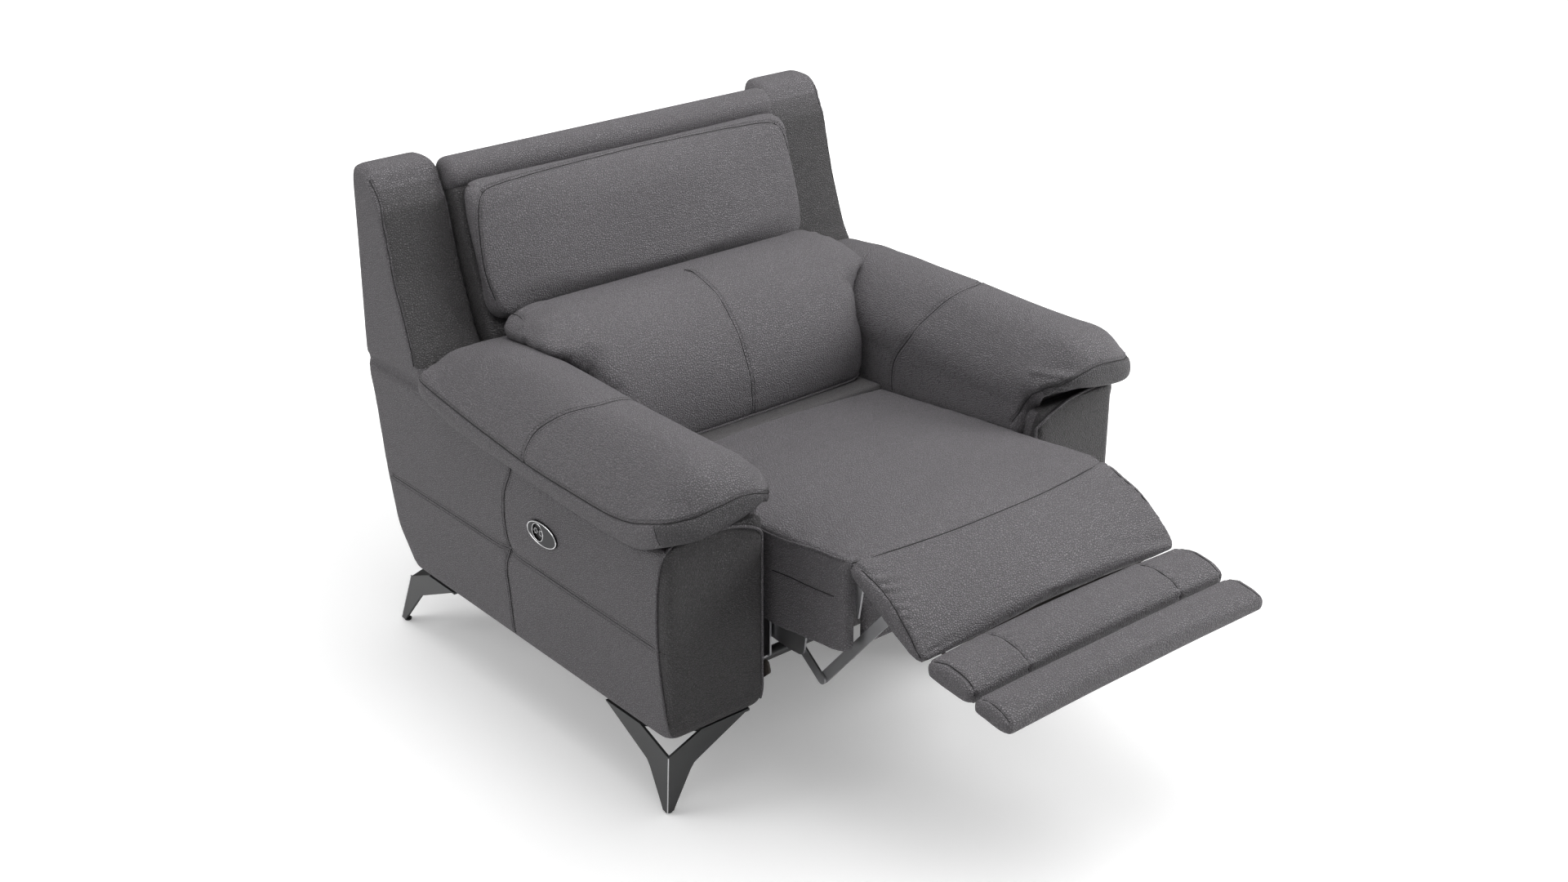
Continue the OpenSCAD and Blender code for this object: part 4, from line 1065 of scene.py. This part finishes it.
# %% Rear covers
rear = cover("rear_cover_skin", "rear_cover", voxel=0.007, material=leather_back)
co = coordinates(rear)
co[:, 0] += np.sign(co[:, 0]) * 0.027 * ramp(np.abs(co[:, 0]), 0.33, 0.035)
set_coordinates(rear, co)
dress(rear, "back", ["rear_cover"])
rear_board = cover("rear_panel_skin", "rear_panel", voxel=0.007)
dress(rear_board, "base", ["rear_panel"])
print("rear box:", [round(v, 3) for v in rear.dimensions])

# %% [markdown]
# The footrest is one long upholstered tongue in three panels, each on its own board. The
# main panel carries on from the seat. A seam runs down beside each edge, and at its upper
# corners the leather is gathered into long creases that fan out from the seam.

# %% Main panel of the footrest
main_panel = cover("footrest_main", "footrest_pad", voxel=0.006, soft=3, grow=0.001)
side_band = places((-296, -186, 508), (-304, -221, 512), (-303, -245, 504), (-306, -275, 493), (-307, -293, 482),
                   (-311, -318, 462), (-312, -337, 445), (-312, -353, 426), (-307, -361, 411))
co = coordinates(main_panel)
lip = ramp(co[:, 1], depth_at(-335), -0.034)
root = ramp(co[:, 1], depth_at(-262), 0.068) ** 2 * ramp(co[:, 2], 0.475, 0.02)
set_coordinates(main_panel, co + np.outer(lip, (0, -0.003, 0.002)) + np.outer(root, (0, 0.010, 0.006)))
fill(main_panel, [side_band, across(side_band)], cap=0.012)
refine(main_panel)
for k, line in enumerate((side_band, across(side_band)[::-1])):
    corner = line[1 + 2 * k:6 + 2 * k]
    pucker(main_panel, corner, 11, 0.12, 0.0042, 0.0065, seed=51 + k, both=False, turn=0.2 - 0.4 * k)
    pucker(main_panel, line, 14, 0.05, 0.0009, 0.0050, seed=71 + k)
press(main_panel, [side_band, across(side_band)], 0.0035, 0.005)
dress(seam_lines("footrest_main_seams", main_panel, [side_band, across(side_band)]), "footrest")
dress(main_panel, "footrest", ["footrest_pad"])
print("main panel faces:", len(main_panel.data.polygons))

# %% [markdown]
# The seat's leather runs on to the footrest without a break. A strip of it spans the joint,
# laid on both cushions. Rays from above find how high the cushions are, the joint between
# them is left out, and the heights are evened.

# %% Heights of the bridge
ACROSS, ALONG = 140, 32
HALF_WIDTH, HALF_REACH = 304, 292
ABOVE = 700


def front_line(x):
    """Depth at which the seat's leather meets the footrest's."""
    bow = 1 - (x / 305) ** 2
    return -180 - 34 * bow - 12 * min(1, bow * 8)


def height_under(tree, x, y):
    """Place where a ray from above meets the skin, or None."""
    return tree.ray_cast(mm(x, y, ABOVE), DOWN)[0]


skins = [surface(seat), surface(main_panel)]
widths = np.linspace(-HALF_WIDTH, HALF_WIDTH, ACROSS)
depths = np.array([np.linspace(-110, front_line(x) - 26, ALONG) for x in widths])
heights = np.zeros((ACROSS, ALONG))
for i, x in enumerate(widths):
    found = []
    inside = max(-HALF_REACH, min(HALF_REACH, x))
    for y in np.linspace(-100, -280, 70):
        hits = [hit.z for hit in (height_under(skin, inside, y) for skin in skins) if hit is not None]
        if hits and not -212 < y < -168:
            found.append((-y, max(hits)))
    heights[i] = np.interp(-depths[i], *zip(*found)) - 5e-5 * (abs(x) - abs(inside)) ** 2
for k in range(8):
    heights[:, 1:-1] = (heights[:, :-2] + 2 * heights[:, 1:-1] + heights[:, 2:]) / 4
    heights[1:-1] = (heights[:-2] + 2 * heights[1:-1] + heights[2:]) / 4
heights += np.interp(np.linspace(0, 1, ALONG), [0, 0.4, 0.9, 1], [-0.004, 0.0022, 0.0008, -0.0012])
print("bridge heights:", round(heights.min(), 3), "to", round(heights.max(), 3))

# %% [markdown]
# The strip itself is a net of places at those heights, made 3 mm thick as leather with
# its backing is. Its seam follows the bowed line where the two covers meet.

# %% Bridge between seat and footrest
bm = bmesh.new()
grid = [[bm.verts.new((*mm(x, y, 0).xy, heights[i, j])) for j, y in enumerate(depths[i])]
        for i, x in enumerate(widths)]
for row, next_row in zip(grid, grid[1:]):
    for a, b, c, d in zip(row, row[1:], next_row[1:], next_row):
        bm.faces.new((a, b, c, d))
bmesh.ops.recalc_face_normals(bm, faces=bm.faces)
if sum(face.normal.z for face in bm.faces) < 0:
    bmesh.ops.reverse_faces(bm, faces=bm.faces)
bmesh.ops.solidify(bm, geom=bm.faces, thickness=0.003)
bmesh.ops.recalc_face_normals(bm, faces=bm.faces)
bridge = refine(piece("seat_bridge", bm, leather))
bridge_top = surface(bridge)
bridge_seam = [height_under(bridge_top, x, front_line(x))
               for x in (-303, -298, -290, -280, *range(-260, 261, 40), 280, 290, 298, 303)]
press(bridge, [bridge_seam], 0.0016, 0.0035)
bridge_line = seam_lines("bridge_seam", bridge, [bridge_seam], radius=0.0013)
bridge_rows = stitches("bridge_stitches", bridge, [(bridge_seam, -0.005)], radius=0.0003)
for obj in (bridge, bridge_line, bridge_rows):
    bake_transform(obj)
print("bridge faces:", len(bridge.data.polygons))

# %% [markdown]
# The middle panel is tufted: two seams are drawn down across it and the leather swells
# between them. A seam at each end closes its cap.

# %% Middle panel of the footrest
middle_panel = cover("footrest_middle", "mid_pad", voxel=0.005, grow=0.001)
co = coordinates(middle_panel)
near = ramp(co[:, 1], depth_at(-412), 0.035)
set_coordinates(middle_panel, co + np.outer(near, (0, 0.006, 0.003)))
curve_yz = [(-376, 405), (-381, 420), (-409, 431), (-432, 430), (-452, 426), (-468, 419), (-479, 406), (-480, 396)]
tuft_seams, cap_seams = [[places(*[(x, y, z) for y, z in curve_yz]) for x in pair]
                         for pair in ((-180, 193), (-302, 302))]
fill(middle_panel, tuft_seams + cap_seams, cap=0.004, held=lambda co: np.abs(co[:, 0]) > 0.303)
refine(middle_panel)
for k, line in enumerate(tuft_seams):
    pucker(middle_panel, line, 10, 0.05, 0.0025, 0.0045, seed=61 + k)
press(middle_panel, tuft_seams, 0.0025, 0.0045)
press(middle_panel, cap_seams, 0.0025, 0.0045)
dress(seam_lines("footrest_middle_seams", middle_panel, tuft_seams + cap_seams), "mid_panel")
dress(middle_panel, "mid_panel", ["mid_pad"])
print("middle panel faces:", len(middle_panel.data.polygons))

# %% [markdown]
# The last panel carries the heels. It is the smallest and stays plain, with a seam that
# closes the rounded cap at each end.

# %% End panel of the footrest
end_panel = cover("footrest_end", "end_pad", voxel=0.005, grow=0.001)
cap_end = places((-303, -480, 385), (-303, -486, 397), (-304, -504, 405), (-305, -528, 404), (-306, -547, 398),
                 (-307, -560, 389))
fill(end_panel, [cap_end, across(cap_end)], cap=0.004, held=lambda co: np.abs(co[:, 0]) > 0.305)
refine(end_panel)
press(end_panel, [cap_end, across(cap_end)], 0.0025, 0.0045)
dress(seam_lines("footrest_end_seams", end_panel, [cap_end, across(cap_end)]), "end_panel")
dress(end_panel, "end_panel", ["end_pad"])
print("end panel faces:", len(end_panel.data.polygons))

# %% [markdown]
# Painted highlights stand for the light that catches the rims of the switch: a bright bead
# runs round the oval bezel, round the cup in it and round each button. A bright bar also
# runs down the fold of each leg, as a painted highlight where light catches the fold.

# %% Painted highlights
def oval(node, radius_y, radius_z, x):
    """Closed ring of points round the middle of a CAD part's box."""
    a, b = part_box(node)
    middle_y, middle_z = (a.y + b.y) / 2, (a.z + b.z) / 2
    return [Vector((x, middle_y + radius_y * math.cos(t), middle_z + radius_z * math.sin(t)))
            for t in np.linspace(0, 2 * math.pi, 49)]


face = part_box("switch_bezel")[0].x
bezel_rim, cup_rim = oval("switch_bezel", 0.0448, 0.0218, face), oval("switch_housing", 0.0172, 0.0172, face)
dress(bars("bezel_bead", [bezel_rim], 0.0013, highlight_metal, sides=3), "base")
dress(bars("cup_bead", [cup_rim], 0.0008, highlight_metal, sides=2), "base")
for name in ("button_open", "button_close"):
    rim = oval(name, 0.0052, 0.0052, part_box(name)[0].x + 0.0004)
    dress(bars(name + "_bead", [rim], 0.0005, highlight_metal, sides=2), name)
folds = [[mm(541 * s, *top), mm(533 * s, *foot)]
         for top, foot in (((19, 132), (37, 4)), ((881, 134), (950, 4))) for s in (-1, 1)]
dress(bars("leg_fold_highlights", folds, 0.0012, highlight_metal), "base")
print("bright edges on legs:", len(folds))
